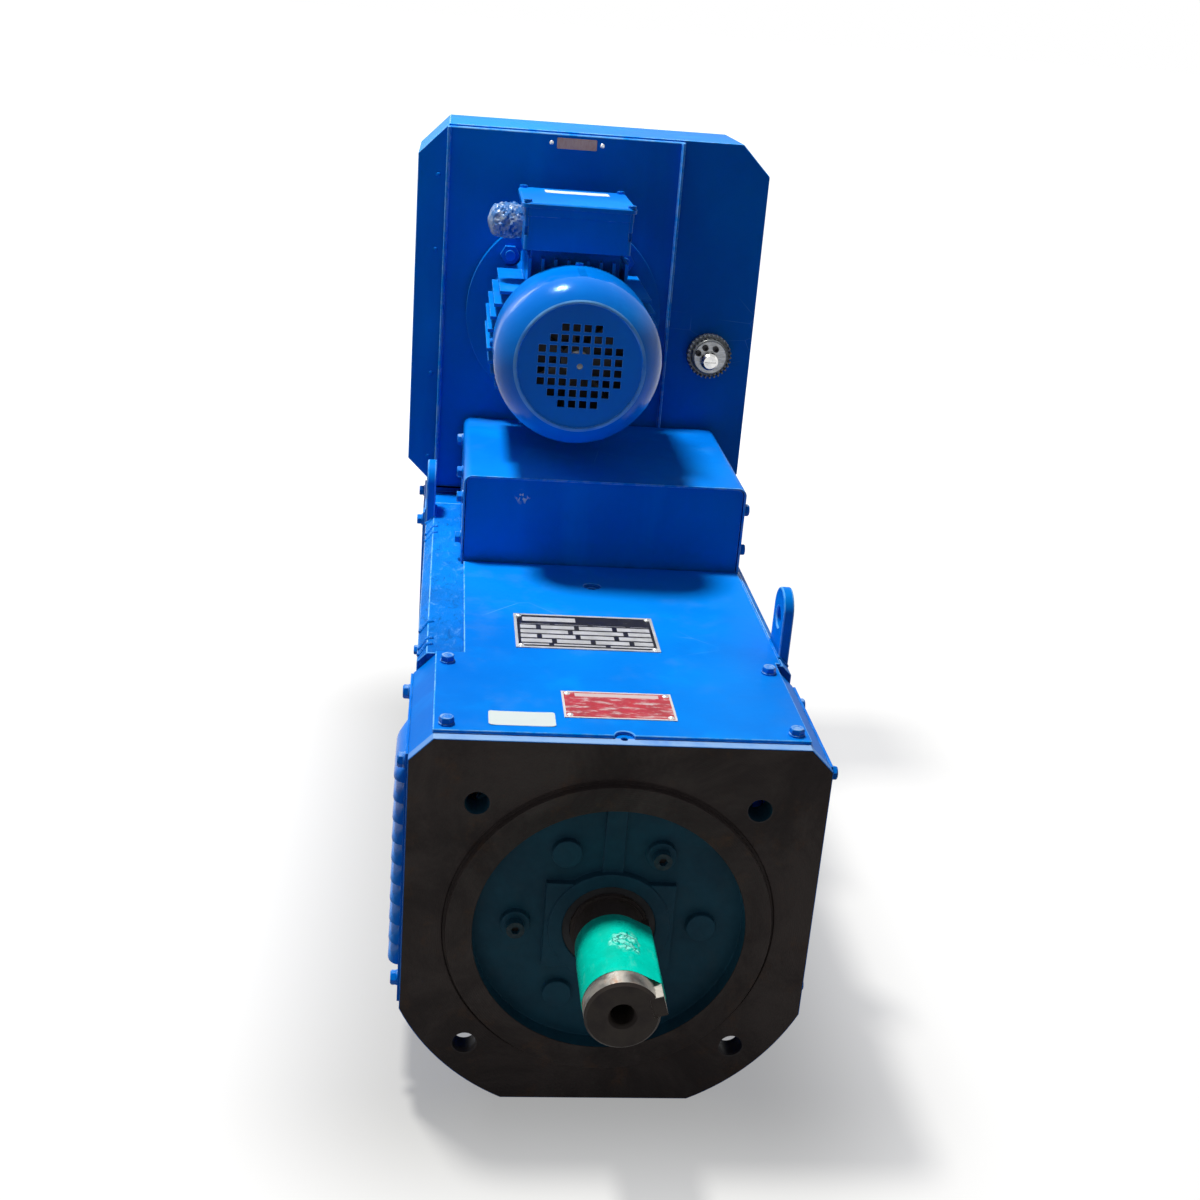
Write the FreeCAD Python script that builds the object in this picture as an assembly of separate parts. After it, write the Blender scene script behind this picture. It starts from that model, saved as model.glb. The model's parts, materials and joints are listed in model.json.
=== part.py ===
from collections import namedtuple
import math
import os

import FreeCAD
import Part

# Square-frame, flange-mounted DC motor with a forced-ventilation blower, in millimetres.
# X runs to the right, Y from the flange face to the rear and Z up. The origin is the centre
# of the flange face on the shaft axis, and the shaft end points along -Y.

V = FreeCAD.Vector
Bearing = namedtuple("Bearing", "bore_r outer_r width front ball_r pitch_r")
Lug = namedtuple("Lug", "x y top")

# Square section and drive-end flange
HALF = 158.0
FRAME_HALF = 156.0
TOP_CUT = 18.0
REAR_CUT = 8.0
FLANGE_R = 175.0
FLANGE_T = 20.0
FLANGE_PCD = 300.0
FLANGE_HOLE_R = 9.25
SPIGOT_R = 125.0
SPIGOT_H = 5.0
RELIEF_W = 3.0
RELIEF_D = 1.5
RECESS_R = 105.0
RECESS_Y = 10.0
WEB_END = 24.0
BOSS_Y = 4.0
BOSS_R = 11.5
CAP_BOLT_R = 72.0
COLLAR_R = 47.0
COLLAR_Y = 2.0
EAR_X = 50.0
EAR_Z = 37.0
RIB_HALF = 8.0
RIB_FOOT = 42.0
RIB_TOP = 100.0
RIB_Y = 7.0
POCKET_FROM = 92.0
POCKET_END = 110.0
DE_REACH = 124.0
NDE_REACH = 150.0
WEB_RIB_HALF = 6.0
WEB_RIB_H = 22.0
WEB_RIB_END = 144.0
DE_WINDOW_Y = (32.0, 134.0)
DE_WINDOW_Z = (-60.0, 112.0)
TOP_WINDOW_X = 112.0
NDE_WINDOW_Y = (600.0, 680.0)
NDE_WINDOW_Z = (-55.0, 110.0)
WINDOW_KEEP_R = 118.0
PAST = 12.0

# Lengths along the shaft
DE_END = 157.0
FRAME_END = 560.0
NDE_END = 722.0
RING_T = 20.0
NDE_WALL = 22.0
WALL = 18.0
CAVITY_CUT = 10.0
SEAT_CLEAR = 2.0
BORE_R = 132.0
TIE_R = 145.7
TIE_BOLT_R = 6.0
TIE_DEPTH = 15.0

# Shaft
SHAFT_R = 27.5
SHAFT_LEN = 110.0
SHOULDER_R = 30.0
SHAFT_HOLE_R = 31.0
SEAL_R = 36.0
SEAL_CLEAR = 0.3
SEAL_T = 6.0
SEAL_Y = 3.0
BODY_R = 36.0
BODY_END = 120.0
CORE_SEAT_R = 40.0
COMM_SEAT_R = 35.0
COMM_SEAT_END = 660.0
NDE_STEP_R = 30.0
NDE_SEAT_R = 25.0
SHAFT_END = 728.0
THREAD_R = 8.75
THREAD_DEPTH = 42.0
CENTRE_R = 10.5
CENTRE_D = 3.0
SHAFT_CHAMFER = 2.0
KEY_W = 16.0
KEY_H = 10.0
KEY_LEN = 100.0
KEY_BACK = 1.0
KEYWAY_D = 6.0
KEY_ANGLE = 17.0

# Ball bearings and their covers
DE_BEARING = Bearing(30.0, 65.0, 31.0, 27.0, 10.8, 47.5)
NDE_BEARING = Bearing(25.0, 55.0, 27.0, 694.0, 9.3, 40.0)
RACE_SHARE = 0.62
BALLS = 8
RACE_GAP = 0.3
CAGE_RIM = 1.7
CAGE_HALF = 2.2
FIT_GAP = 0.03
CAP_R = 84.0
CAP_GAP = 4.0
CAP_T = 10.0
CAP_LIP = 8.0
CAP_DRILL = 80.0
NDE_HUB_R = 78.0
NDE_SCREW_R = 68.0
NDE_SCREW_LEN = 30.0
NDE_COVER_T = 14.0
NDE_COVER_ROOM = 8.0
NDE_LIP = 10.0
CAP_SCREW_R = 4.0
SOCKET_HEAD_R = 7.0
SOCKET_HEAD_H = 8.0
SOCKET_AF = 6.0
SOCKET_D = 4.4

# Field system and armature
CORE_Y = (215.0, 505.0)
CORE_R = 85.0
SHOE_R = 87.0
SHOE_T = 9.0
SHOE_ANGLE = 36.0
POLE_HALF = 35.0
COIL_R = (97.0, 118.0)
COIL_HALF = 54.0
COIL_OVER = 25.0
SHEET_GAP = 1.0
INTER_HALF = 8.0
INTER_R = 88.0
INTER_COIL_R = (97.0, 125.0)
INTER_COIL_HALF = 16.0
INTER_SHORT = 10.0
INTER_OVER = 12.0
COIL_CORNER_R = 10.0
SLOTS = 28
SLOT_W = 7.0
SLOT_FLOOR_R = 59.0
WINDING_R = (58.5, 83.0)
WINDING_PLAY = 0.2
HEAD_FRONT = 38.0
HEAD_REAR = 35.0
HEAD_TAPER = 8.0

# Commutator and brush gear
COMM_R = 65.0
COMM_Y = (588.0, 650.0)
COMM_BORE_R = 48.0
RISER_R = 76.0
RISER_T = 6.0
HUB_OVER = 4.0
SEGMENTS = 56
SLIT_D = 4.0
SLIT_W = 1.0
BRUSH_T = 10.0
BRUSH_Y = (602.0, 638.0)
BRUSH_R = (65.3, 96.0)
BRUSH_PLAY = 0.15
ROLL_R = 5.0
HOLDER_R = (68.0, 100.0)
HOLDER_WALL = 4.0
ARM_START = 94.0
ARM_END = 126.0
ROCKER_R = (112.0, 138.0)
ROCKER_Y = (580.0, 592.0)

# Sheet covers and their hex screws
TOP_SHEET = 3.0
SIDE_SHEET = 2.0
COVER_FRONT = 9.0
COVER_X = 141.0
COVER_STEP = 155.0
COVER_END = 374.0
COVER_REAR_X = (-118.0, 145.0)
NOTCH_R = 7.2
NOTCH_HOLE_R = 2.5
TAPPED_HOLE_Y = 320.0
TAPPED_HOLE_R = 4.25
TAPPED_CLEAR_R = 8.0
TOP_SCREW_X = 131.0
TOP_SCREW_Y = (19.5, 134.0)
LOUVRE_Y = (10.0, 155.0)
SIDE_Z = (-75.0, 140.0)
LOUVRES = 10
LOUVRE_PITCH = 18.0
LOUVRE_TOP = 107.0
LOUVRE_OUT = 9.0
LOUVRE_INSET = 30.0
LOUVRE_RISE = 8.0
LOUVRE_DROP = 7.0
LOUVRE_SKIN = 1.6
LOUVRE_SLOPE = 3.0
LOUVRE_SCREWS = ((20.0, 130.0), (30.0, -67.0), (141.0, 130.0), (141.0, -67.0))
INSPECTION_Y = (582.0, 700.0)
INSPECTION_SCREW_Y = (588.0, 692.0)
SIDE_SCREW_Z = (130.0, -67.0)
SCREW_R = 3.0
SCREW_AF = 10.0
SCREW_HEAD = 4.5
WASHER_R = 6.2
WASHER_T = 1.4
SCREW_LEN = 14.0
HOLE_EXTRA = 2.0
HOLE_PLAY = 0.1

# Lifting lugs
LUGS = (Lug(147.0, 193.0, 214.0), Lug(-156.0, 530.0, 213.0))
LUG_T = 9.0
LUG_R = 19.5
LUG_HOLE_R = 9.0
LUG_HOLE_DOWN = 26.0
LUG_FOOT = 150.0

# Plates on the top cover: X range, Y range and thickness
RATING_PLATE = ((-75.0, 46.0), (168.0, 243.0), 0.8)
SERVICE_PLATE = ((-43.0, 43.0), (36.0, 83.5), 0.6)
RIVET_R = 2.0
RIVET_INSET = 4.5
RIVET_HEAD_R = 3.0
RIVET_SUNK = 1.6

# Terminal box on the frame
TBOX_X = (-121.0, 146.0)
TBOX_Y = (375.0, 588.0)
TBOX_TOP = 245.0
TBOX_SHEET = 2.0
TBOX_CORNER_R = 8.0
TBOX_INSET = 3.0
TBOX_POST = 14.0
TBOX_TAB = 4.0
TBOX_TAB_HALF = 12.0
TBOX_PLAY = 0.6
TBOX_SCREWS = ((388.0, 220.0), (388.0, 180.0), (453.0, 225.0), (572.0, 225.0))
TBOX_SCREW_LEN = 9.0
TBOX_LEAD_HOLE = (-30.0, 30.0, 392.0, 410.0)
BOARD = (-80.0, 105.0, 425.0, 545.0, 161.0, 175.0)
STUD_X = (-58.0, -12.0, 34.0, 80.0)
STUD_Y = 470.0
STUD_R = 6.0
FIELD_STUD_X = (-12.0, 34.0)
FIELD_STUD_Y = 520.0
FIELD_STUD_R = 4.0
STUD_H = 32.0
STUD_NUTS = (0.0, 13.0)
BOARD_FIN_T = 3.0
BOARD_FIN_H = 12.0
BOARD_FIN_END = 495.0

# Blower casing
BLOWER_X = -24.0
BLOWER_Z = 360.0
CASE_HALF = 178.0
CASE_Z = (165.0, 540.0)
CASE_CUT = 30.0
CASE_Y = (600.0, 715.0)
CASE_SHEET = 2.0
PLATE_T = 3.0
PANEL_X = (-150.0, 88.0)
PANEL_Z = (166.0, 538.0)
PANEL_LIP = 6.0
DUCT_X = 95.0
DUCT_Y = (606.0, 690.0)
BASE_X = 148.0
BASE_BOLT_X = 120.0
BASE_BOLT_Y = (612.0, 700.0)
BASE_SCREW_LEN = 22.0
SCROLL_R = (116.0, 150.0)
SCROLL_START = -50.0
SCROLL_POINTS = 12
WHEEL_R = 105.0
WHEEL_Y = (612.0, 690.0)
WHEEL_HUB_Y = (606.0, 640.0)
WHEEL_HUB_R = 17.0
WHEEL_SHEET = 3.0
BLADES = 30
BLADE_R = 94.0
BLADE_HALF = 10.0
BLADE_ANGLE = 30.0
BLADE_T = 1.6
INLET_R = 88.0
THROAT_R = 82.0
THROAT_GAP = 4.0
GUARD_RINGS = (18.0, 36.0, 54.0, 72.0)
GUARD_RIM_R = (92.0, 102.0)
GUARD_BAR = 6.0
GUARD_T = 4.0

# Blower motor
BM_FLANGE_R = 100.0
BM_FLANGE_T = 12.0
BM_PCD = 165.0
BM_STUD_R = 5.0
BM_STUD_PLAY = 0.5
BM_STUD_POCKET_R = 11.0
BM_NUT_AF = 17.0
BM_NUT_T = 8.0
BM_STUD_OVER = 5.0
BM_HEAD_T = 6.0
BM_SPIGOT_R = 65.0
BM_SPIGOT_PLAY = 0.2
BM_CONE_R = (66.0, 78.0)
BM_BODY_R = 61.0
BM_BORE_R = 52.0
BM_Y = (434.0, 566.0)
BM_FINS = (-45.0, -33.0, -21.0, -9.0, 9.0, 21.0, 33.0, 45.0)
BM_FIN_T = 3.0
BM_FIN_TOP = 78.0
BM_FIN_SIDE = 81.0
BM_FIN_CROWN = 10.0
BM_SHAFT_R = 9.5
BM_SHAFT_START = 364.0
BM_CORE_Y = (462.0, 538.0)
BM_ROTOR_R = 38.5
BM_STATOR_R = 39.0
BM_HEAD_R = (41.0, 50.0)
BM_HEAD_LEN = 14.0
BM_SHIELD_T = 14.0
BM_PAD_DOWN = 44.0
COWL_R = 76.0
COWL_Y = (340.0, 428.0)
COWL_STRAIGHT = 364.0
COWL_SHOULDER = (68.8, 350.4)
COWL_FACE_R = 56.5
COWL_SUNK = 2.0
COWL_RIM = 1.0
COWL_SCREW_Y = 424.0
COWL_SHEET = 2.0
GRILLE_ROWS = (4, 6, 8, 8, 8, 8, 6, 4)
GRILLE_PITCH = 9.8
GRILLE_HOLE = 6.5
GRILLE_CENTRE_R = 2.6
FAN_BLADES = 7
FAN_Y = (370.0, 402.0)
FAN_HUB_R = 15.0
FAN_DISC_R = 62.0
FAN_SHEET = 3.0
FAN_BLADE_R = 64.0
FAN_BLADE_Y = 376.0
FAN_BLADE_T = 2.5
SMALL_BEARING_R = 23.5
SMALL_BEARING_W = 12.0
SMALL_SCREW_R = 2.0
SMALL_HEAD_R = 3.8
SMALL_HEAD_T = 2.4
SMALL_SLOT_D = 1.0
LID_SCREW_LEN = 22.0
COWL_SCREW_LEN = 8.0

# Blower motor's terminal box and cable gland
BTB_X = (-76.0, 23.5)
BTB_Y = (431.0, 546.0)
BTB_Z = (446.0, 484.0)
BTB_WALL = 4.0
BTB_RIM_Z = 476.5
BTB_RIM_OVER = 1.2
BTB_LID_TOP = 489.0
BTB_LID_OVER = 3.2
BTB_LID_CHAMFER = 1.5
BTB_CORNER_R = 8.0
BTB_POST_R = 5.0
BTB_POST_IN = 3.0
BTB_SCREW_IN = 2.0
BTB_DRILL = 30.0
GLAND_Y = 495.0
GLAND_Z = 463.0
GLAND_R = 8.0
GLAND_AF = 22.0
GLAND_HEX_T = 7.0
GLAND_BARREL_R = 10.5
GLAND_BARREL_END = 17.0
GLAND_DOME_R = (12.0, 9.0)
GLAND_END = 30.0
GLAND_BORE_R = 5.5
GLAND_BORE_FROM = 20.0

# Pressure switch on the casing
SWITCH_X = 132.5
SWITCH_Z = 325.0
SWITCH_R = 22.5
SWITCH_DEPTH = 16.0
SWITCH_NECK_R = 18.5
SWITCH_PLATE_R = 16.5
SWITCH_PLATE_T = 1.2
SWITCH_TERMINALS = ((-6.0, 9.8), (5.1, 9.0), (-12.9, 3.9))
TERMINAL_R = (1.7, 2.9)
TERMINAL_H = 3.4
KNOB_OFFSET = (-1.0, -3.4)
KNOB_R = 9.5
KNOB_H = 9.0
KNOB_GAP = 0.3
KNOB_SLOT_HALF = 6.0
KNOB_SLOT_W = 1.4
KNOB_SLOT_D = 2.0


def box(x0, x1, y0, y1, z0, z1):
    return Part.makeBox(x1 - x0, y1 - y0, z1 - z0, V(x0, y0, z0))


def rod_x(radius, x0, x1, y, z):
    return Part.makeCylinder(radius, x1 - x0, V(x0, y, z), V(1, 0, 0))


def rod_y(radius, y0, y1, x=0.0, z=0.0):
    return Part.makeCylinder(radius, y1 - y0, V(x, y0, z), V(0, 1, 0))


def rod_z(radius, z0, z1, x, y):
    return Part.makeCylinder(radius, z1 - z0, V(x, y, z0), V(0, 0, 1))


def tube_y(outer, inner, y0, y1, x=0.0, z=0.0):
    return rod_y(outer, y0, y1, x, z).cut(rod_y(inner, y0, y1, x, z))


def prism_y(points, y0, y1):
    corners = [V(x, y0, z) for x, z in points]
    wire = Part.makePolygon(corners + corners[:1])
    return Part.Face(wire).extrude(V(0, y1 - y0, 0))


def turned_y(profile, x=0.0, z=0.0):
    """Turn a closed outline of (radius, y) points about an axis along Y."""
    corners = [V(radius, y, 0) for radius, y in profile]
    wire = Part.makePolygon(corners + corners[:1])
    solid = Part.Face(wire).revolve(V(0, 0, 0), V(0, 1, 0), 360)
    solid.translate(V(x, 0, z))
    return solid


def swung(shape, degrees, x=0.0, z=0.0):
    """Copy a shape, turned from +X towards +Z about an axis along Y."""
    result = shape.copy()
    result.rotate(V(x, 0, z), V(0, 1, 0), -degrees)
    return result


def ring_of(shape, count, start=0.0, x=0.0, z=0.0):
    return [swung(shape, start + 360.0 * i / count, x, z) for i in range(count)]


def aimed(shape, base, direction):
    """Carry a shape built along +Z at the origin to a base point and a direction."""
    result = shape.copy()
    result.Placement = FreeCAD.Placement(base, FreeCAD.Rotation(V(0, 0, 1), direction))
    return result


def hexagon(across_flats, height, z0=0.0):
    radius = across_flats / math.sqrt(3)
    corners = [V(radius * math.cos(math.radians(60 * i)), radius * math.sin(math.radians(60 * i)), z0)
               for i in range(6)]
    return Part.Face(Part.makePolygon(corners + corners[:1])).extrude(V(0, 0, height))


def hex_screw(length):
    """Hex screw with its washer, standing on z = 0 with its shank below."""
    head = hexagon(SCREW_AF, SCREW_HEAD, WASHER_T)
    washer = Part.makeCylinder(WASHER_R, WASHER_T)
    shank = Part.makeCylinder(SCREW_R, length, V(0, 0, -length))
    return head.fuse([washer, shank]).removeSplitter()


def drill(places, radius, depth):
    """Cutters for holes that run inwards from each place's base."""
    tool = Part.makeCylinder(radius, depth + PAST, V(0, 0, -depth))
    return [aimed(tool, base, direction) for base, direction in places]


def along(shape, direction):
    """Straight edges of a shape that run along a direction."""
    return [e for e in shape.Edges if abs(e.tangentAt(e.FirstParameter).dot(direction)) > 0.9]


def section(half, cut):
    """Outline of the square section with its upper chamfers and lower corner cuts."""
    foot = math.sqrt(FLANGE_R ** 2 - HALF ** 2)
    shoulder = half - cut
    return [(-shoulder, HALF), (shoulder, HALF), (half, HALF - cut), (half, -foot),
            (foot, -HALF), (-foot, -HALF), (-half, -foot), (-half, HALF - cut)]


def cavity(reach):
    """Outline of the hollow inside an end shield; reach is its size across the lower corners."""
    inner = HALF - WALL
    corner = inner - CAVITY_CUT
    foot = reach * math.sqrt(2) - inner
    return [(-corner, inner), (corner, inner), (inner, corner), (inner, -foot),
            (foot, -inner), (-foot, -inner), (-inner, -foot), (-inner, corner)]


def at_angles(radius, angles, y, x=0.0, z=0.0):
    return [V(x + radius * math.cos(math.radians(a)), y, z + radius * math.sin(math.radians(a)))
            for a in angles]


CORNERS = (45, 135, 225, 315)
TOP_PLACES = [(V(x, y, HALF + TOP_SHEET), V(0, 0, 1))
              for x in (-TOP_SCREW_X, TOP_SCREW_X) for y in TOP_SCREW_Y]
LOUVRE_PLACES = [(V(side * (HALF + SIDE_SHEET), y, z), V(side, 0, 0))
                 for side in (-1, 1) for y, z in LOUVRE_SCREWS]
INSPECTION_PLACES = [(V(side * (HALF + SIDE_SHEET), y, z), V(side, 0, 0))
                     for side in (-1, 1) for y in INSPECTION_SCREW_Y for z in SIDE_SCREW_Z]
TIE_PLACES = at_angles(TIE_R, CORNERS, 0.0)
CAP_PLACES = [(p, V(0, -1, 0)) for p in at_angles(CAP_BOLT_R, (60, 180, 300), BOSS_Y)]
NDE_PLACES = [(p, V(0, 1, 0)) for p in at_angles(NDE_SCREW_R, CORNERS, NDE_END + NDE_COVER_T)]
BASE_PLACES = [(V(x, y, CASE_Z[0] + CASE_SHEET), V(0, 0, 1))
               for x in (-BASE_BOLT_X, BASE_BOLT_X) for y in BASE_BOLT_Y]
BM_STUDS = at_angles(BM_PCD / 2, CORNERS, 0.0, BLOWER_X, BLOWER_Z)
BTB_SCREWS = [(V(x, y, BTB_LID_TOP), V(0, 0, 1))
              for x in (BTB_X[0] + BTB_SCREW_IN, BTB_X[1] - BTB_SCREW_IN)
              for y in (BTB_Y[0] + BTB_SCREW_IN, BTB_Y[1] - BTB_SCREW_IN)]
COWL_SCREWS = [(p, p - V(BLOWER_X, p.y, BLOWER_Z))
               for p in at_angles(COWL_R, (0, 90, 180, 270), COWL_SCREW_Y, BLOWER_X, BLOWER_Z)]
TBOX_PLACES = [(V(TBOX_X[end], y, z), V(2 * end - 1, 0, 0)) for end in (0, 1) for y, z in TBOX_SCREWS]
FRONT_Y = CASE_Y[0] - PLATE_T
PANEL_Y = FRONT_Y - PLATE_T
BM_FLANGE_Y = PANEL_Y - BM_FLANGE_T
DE_CAP_Y = DE_BEARING.front + DE_BEARING.width + CAP_GAP


def make_de_end_shield():
    plate = box(-HALF, HALF, 0, FLANGE_T, -HALF, HALF)
    rounding = rod_y(FLANGE_R, 0, FLANGE_T).fuse(box(-HALF, HALF, 0, FLANGE_T, 0, HALF))
    plate = plate.common(rounding).common(prism_y(flange_outline(), 0, FLANGE_T))
    plate = plate.fuse(rod_y(SPIGOT_R, -SPIGOT_H, FLANGE_T))
    plate = plate.cut(tube_y(SPIGOT_R + RELIEF_W, SPIGOT_R, -SPIGOT_H, RELIEF_D))

    walls = prism_y(section(HALF, TOP_CUT), FLANGE_T, DE_END)
    room = prism_y(cavity(DE_REACH), WEB_END, DE_END - RING_T)
    room = room.fuse(rod_y(BORE_R + SEAT_CLEAR, DE_END - RING_T, DE_END))
    hub = rod_y(CAP_R, RECESS_Y, DE_CAP_Y)
    web_rib = box(-WEB_RIB_END, WEB_RIB_END, WEB_END, WEB_END + WEB_RIB_H, -WEB_RIB_HALF, WEB_RIB_HALF)
    inside = prism_y(cavity(DE_REACH), 0, DE_END)
    web_ribs = [swung(web_rib, angle).common(inside) for angle in (45, 135)]
    walls = walls.cut(room).fuse([hub] + web_ribs)

    casting = plate.fuse(walls)
    casting = casting.cut(rod_y(RECESS_R, -SPIGOT_H, RECESS_Y))
    bosses = [rod_y(BOSS_R, BOSS_Y, RECESS_Y, p.x, p.z)
              for p in at_angles(CAP_BOLT_R, range(0, 360, 60), 0.0)]
    collar = rod_y(COLLAR_R, COLLAR_Y, RECESS_Y).fuse(box(-EAR_X, EAR_X, BOSS_Y, RECESS_Y, -EAR_Z, EAR_Z))
    rib = box(-RIB_HALF, RIB_HALF, RIB_Y, RECESS_Y, RIB_FOOT, RIB_TOP)
    casting = casting.fuse(bosses + [collar, rib])

    seal_seat = rod_y(SEAL_R, COLLAR_Y, COLLAR_Y + SEAL_T + SEAT_CLEAR)
    bearing_seat = rod_y(DE_BEARING.outer_r + FIT_GAP, DE_BEARING.front, DE_CAP_Y)
    casting = casting.cut([rod_y(SHAFT_HOLE_R, -SPIGOT_H, DE_BEARING.front), seal_seat, bearing_seat])

    keep = rod_y(WINDOW_KEEP_R, 0, DE_END)
    windows = [box(-HALF - PAST, HALF + PAST, *DE_WINDOW_Y, *DE_WINDOW_Z),
               box(-TOP_WINDOW_X, TOP_WINDOW_X, *DE_WINDOW_Y, WINDOW_KEEP_R, HALF + PAST)]
    casting = casting.cut([window.cut(keep) for window in windows])
    bolts = [rod_y(FLANGE_HOLE_R, 0, WEB_END, p.x, p.z)
             for p in at_angles(FLANGE_PCD / 2, CORNERS, 0.0)]
    pockets = [box(x0, x1, FLANGE_T, POCKET_END, -HALF, -POCKET_FROM)
               for x0, x1 in ((-HALF, -POCKET_FROM), (POCKET_FROM, HALF))]
    ties = [rod_y(TIE_BOLT_R + HOLE_PLAY, DE_END - TIE_DEPTH, DE_END, p.x, p.z) for p in TIE_PLACES]
    threads = drill(TOP_PLACES + LOUVRE_PLACES, SCREW_R + HOLE_PLAY, SCREW_LEN + HOLE_EXTRA)
    caps = drill(CAP_PLACES, CAP_SCREW_R + HOLE_PLAY, CAP_DRILL)
    front_hole = [rod_z(NOTCH_HOLE_R, HALF - TIE_DEPTH, HALF, 0, COVER_FRONT)]
    return casting.cut(bolts + pockets + ties + threads + caps + front_hole).removeSplitter()


def flange_outline():
    shoulder = HALF - TOP_CUT
    return [(-shoulder, HALF), (shoulder, HALF), (HALF, shoulder), (HALF, -HALF),
            (-HALF, -HALF), (-HALF, shoulder)]


def make_stator_frame():
    body = prism_y(section(FRAME_HALF, REAR_CUT), DE_END, FRAME_END).cut(rod_y(BORE_R, DE_END, FRAME_END))
    ties = [rod_y(TIE_BOLT_R + HOLE_PLAY, DE_END, FRAME_END, p.x, p.z) for p in TIE_PLACES]
    x0, x1, y0, y1 = TBOX_LEAD_HOLE
    leads = box(x0, x1, y0, y1, BORE_R - PAST, HALF)
    tapped = rod_z(TAPPED_HOLE_R, HALF - WALL, HALF, 0, TAPPED_HOLE_Y)
    return body.cut(ties + [leads, tapped])


def make_nde_end_shield():
    body = prism_y(section(HALF, REAR_CUT), FRAME_END, NDE_END)
    room = prism_y(cavity(NDE_REACH), FRAME_END + RING_T, NDE_END - NDE_WALL)
    room = room.fuse(rod_y(BORE_R + SEAT_CLEAR, FRAME_END, FRAME_END + RING_T))
    front = NDE_BEARING.front
    hub = rod_y(NDE_HUB_R, front - NDE_LIP, NDE_END)
    body = body.cut(room).fuse(hub)
    seat = rod_y(NDE_BEARING.outer_r + FIT_GAP, front, NDE_END)
    passage = rod_y(NDE_STEP_R + SEAT_CLEAR, front - NDE_LIP, front)
    windows = box(-HALF - PAST, HALF + PAST, *NDE_WINDOW_Y, *NDE_WINDOW_Z)
    duct = box(-DUCT_X, DUCT_X, *DUCT_Y, NDE_WINDOW_Z[1], HALF)
    ties = [rod_y(TIE_BOLT_R + HOLE_PLAY, FRAME_END, FRAME_END + TIE_DEPTH, p.x, p.z) for p in TIE_PLACES]
    threads = drill(INSPECTION_PLACES, SCREW_R + HOLE_PLAY, SCREW_LEN + HOLE_EXTRA)
    threads += drill(NDE_PLACES, SCREW_R + HOLE_PLAY, NDE_SCREW_LEN + HOLE_EXTRA)
    threads += drill(BASE_PLACES, SCREW_R + HOLE_PLAY, BASE_SCREW_LEN + HOLE_EXTRA)
    return body.cut([seat, passage, windows, duct] + ties + threads).removeSplitter()


def make_frame_tie_bolts():
    return [rod_y(TIE_BOLT_R, DE_END - TIE_DEPTH, FRAME_END + TIE_DEPTH, p.x, p.z) for p in TIE_PLACES]


def make_field_poles():
    y0, y1 = CORE_Y
    seat = rod_y(BORE_R - FIT_GAP, y0, y1)
    body = box(SHOE_R, BORE_R, y0, y1, -POLE_HALF, POLE_HALF).common(seat)
    spread = BORE_R * math.tan(math.radians(SHOE_ANGLE))
    wedge = prism_y([(0, 0), (BORE_R, -spread), (BORE_R, spread)], y0, y1)
    shoe = tube_y(SHOE_R + SHOE_T, SHOE_R, y0, y1).common(wedge)
    main = body.cut(rod_y(SHOE_R, y0, y1)).fuse(shoe).removeSplitter()
    inter = box(INTER_R, BORE_R, y0 + INTER_SHORT, y1 - INTER_SHORT, -INTER_HALF, INTER_HALF)
    return ring_of(main, 4) + ring_of(inter.common(seat), 4, 45)


def coil(radii, half, y0, y1, pole_half, over):
    """Coil wound round a pole that points along +X."""
    outer = box(radii[0], radii[1], y0 - over, y1 + over, -half, half)
    outer = outer.makeFillet(COIL_CORNER_R, along(outer, V(1, 0, 0)))
    window = box(radii[0], radii[1], y0 - SHEET_GAP, y1 + SHEET_GAP,
                 -pole_half - SHEET_GAP, pole_half + SHEET_GAP)
    return outer.cut(window)


def make_field_coils():
    y0, y1 = CORE_Y
    main = coil(COIL_R, COIL_HALF, y0, y1, POLE_HALF, COIL_OVER)
    inter = coil(INTER_COIL_R, INTER_COIL_HALF, y0 + INTER_SHORT, y1 - INTER_SHORT, INTER_HALF,
                 INTER_OVER)
    return ring_of(main, 4) + ring_of(inter, 4, 45)


def ball_groove(bearing):
    middle = V(0, bearing.front + bearing.width / 2, 0)
    return Part.makeTorus(bearing.pitch_r, bearing.ball_r + RACE_GAP, middle, V(0, 1, 0))


def bearing_ring(bearing, outer, inner):
    ring = tube_y(outer, inner, bearing.front, bearing.front + bearing.width)
    return ring.cut(ball_groove(bearing))


def make_bearing_outer_rings():
    rings = [bearing_ring(b, b.outer_r, b.pitch_r + RACE_SHARE * b.ball_r) for b in (DE_BEARING, NDE_BEARING)]
    bore_r = BM_SHAFT_R + RACE_GAP
    for y in (BM_Y[0] - SMALL_BEARING_W, BM_Y[1] + SEAT_CLEAR):
        rings.append(tube_y(SMALL_BEARING_R, bore_r, y, y + SMALL_BEARING_W, BLOWER_X, BLOWER_Z))
    return rings


def make_bearing_inner_rings():
    return [bearing_ring(b, b.pitch_r - RACE_SHARE * b.ball_r, b.bore_r + FIT_GAP)
            for b in (DE_BEARING, NDE_BEARING)]


def make_bearing_balls():
    pieces = []
    for bearing in (DE_BEARING, NDE_BEARING):
        middle = bearing.front + bearing.width / 2
        pitch_r = bearing.pitch_r
        balls = [Part.makeSphere(bearing.ball_r, p) for p in
                 at_angles(pitch_r, [360.0 * i / BALLS for i in range(BALLS)], middle)]
        pocket = rod_x(bearing.ball_r + RACE_GAP, 0, pitch_r + bearing.ball_r, middle, 0)
        reach = bearing.ball_r + CAGE_RIM
        cage = tube_y(pitch_r + CAGE_HALF, pitch_r - CAGE_HALF, middle - reach, middle + reach)
        pieces += balls + [cage.cut(ring_of(pocket, BALLS))]
    return pieces


def make_shaft_seal():
    return tube_y(SEAL_R - FIT_GAP, SHOULDER_R + SEAL_CLEAR, SEAL_Y, SEAL_Y + SEAL_T)


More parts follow.
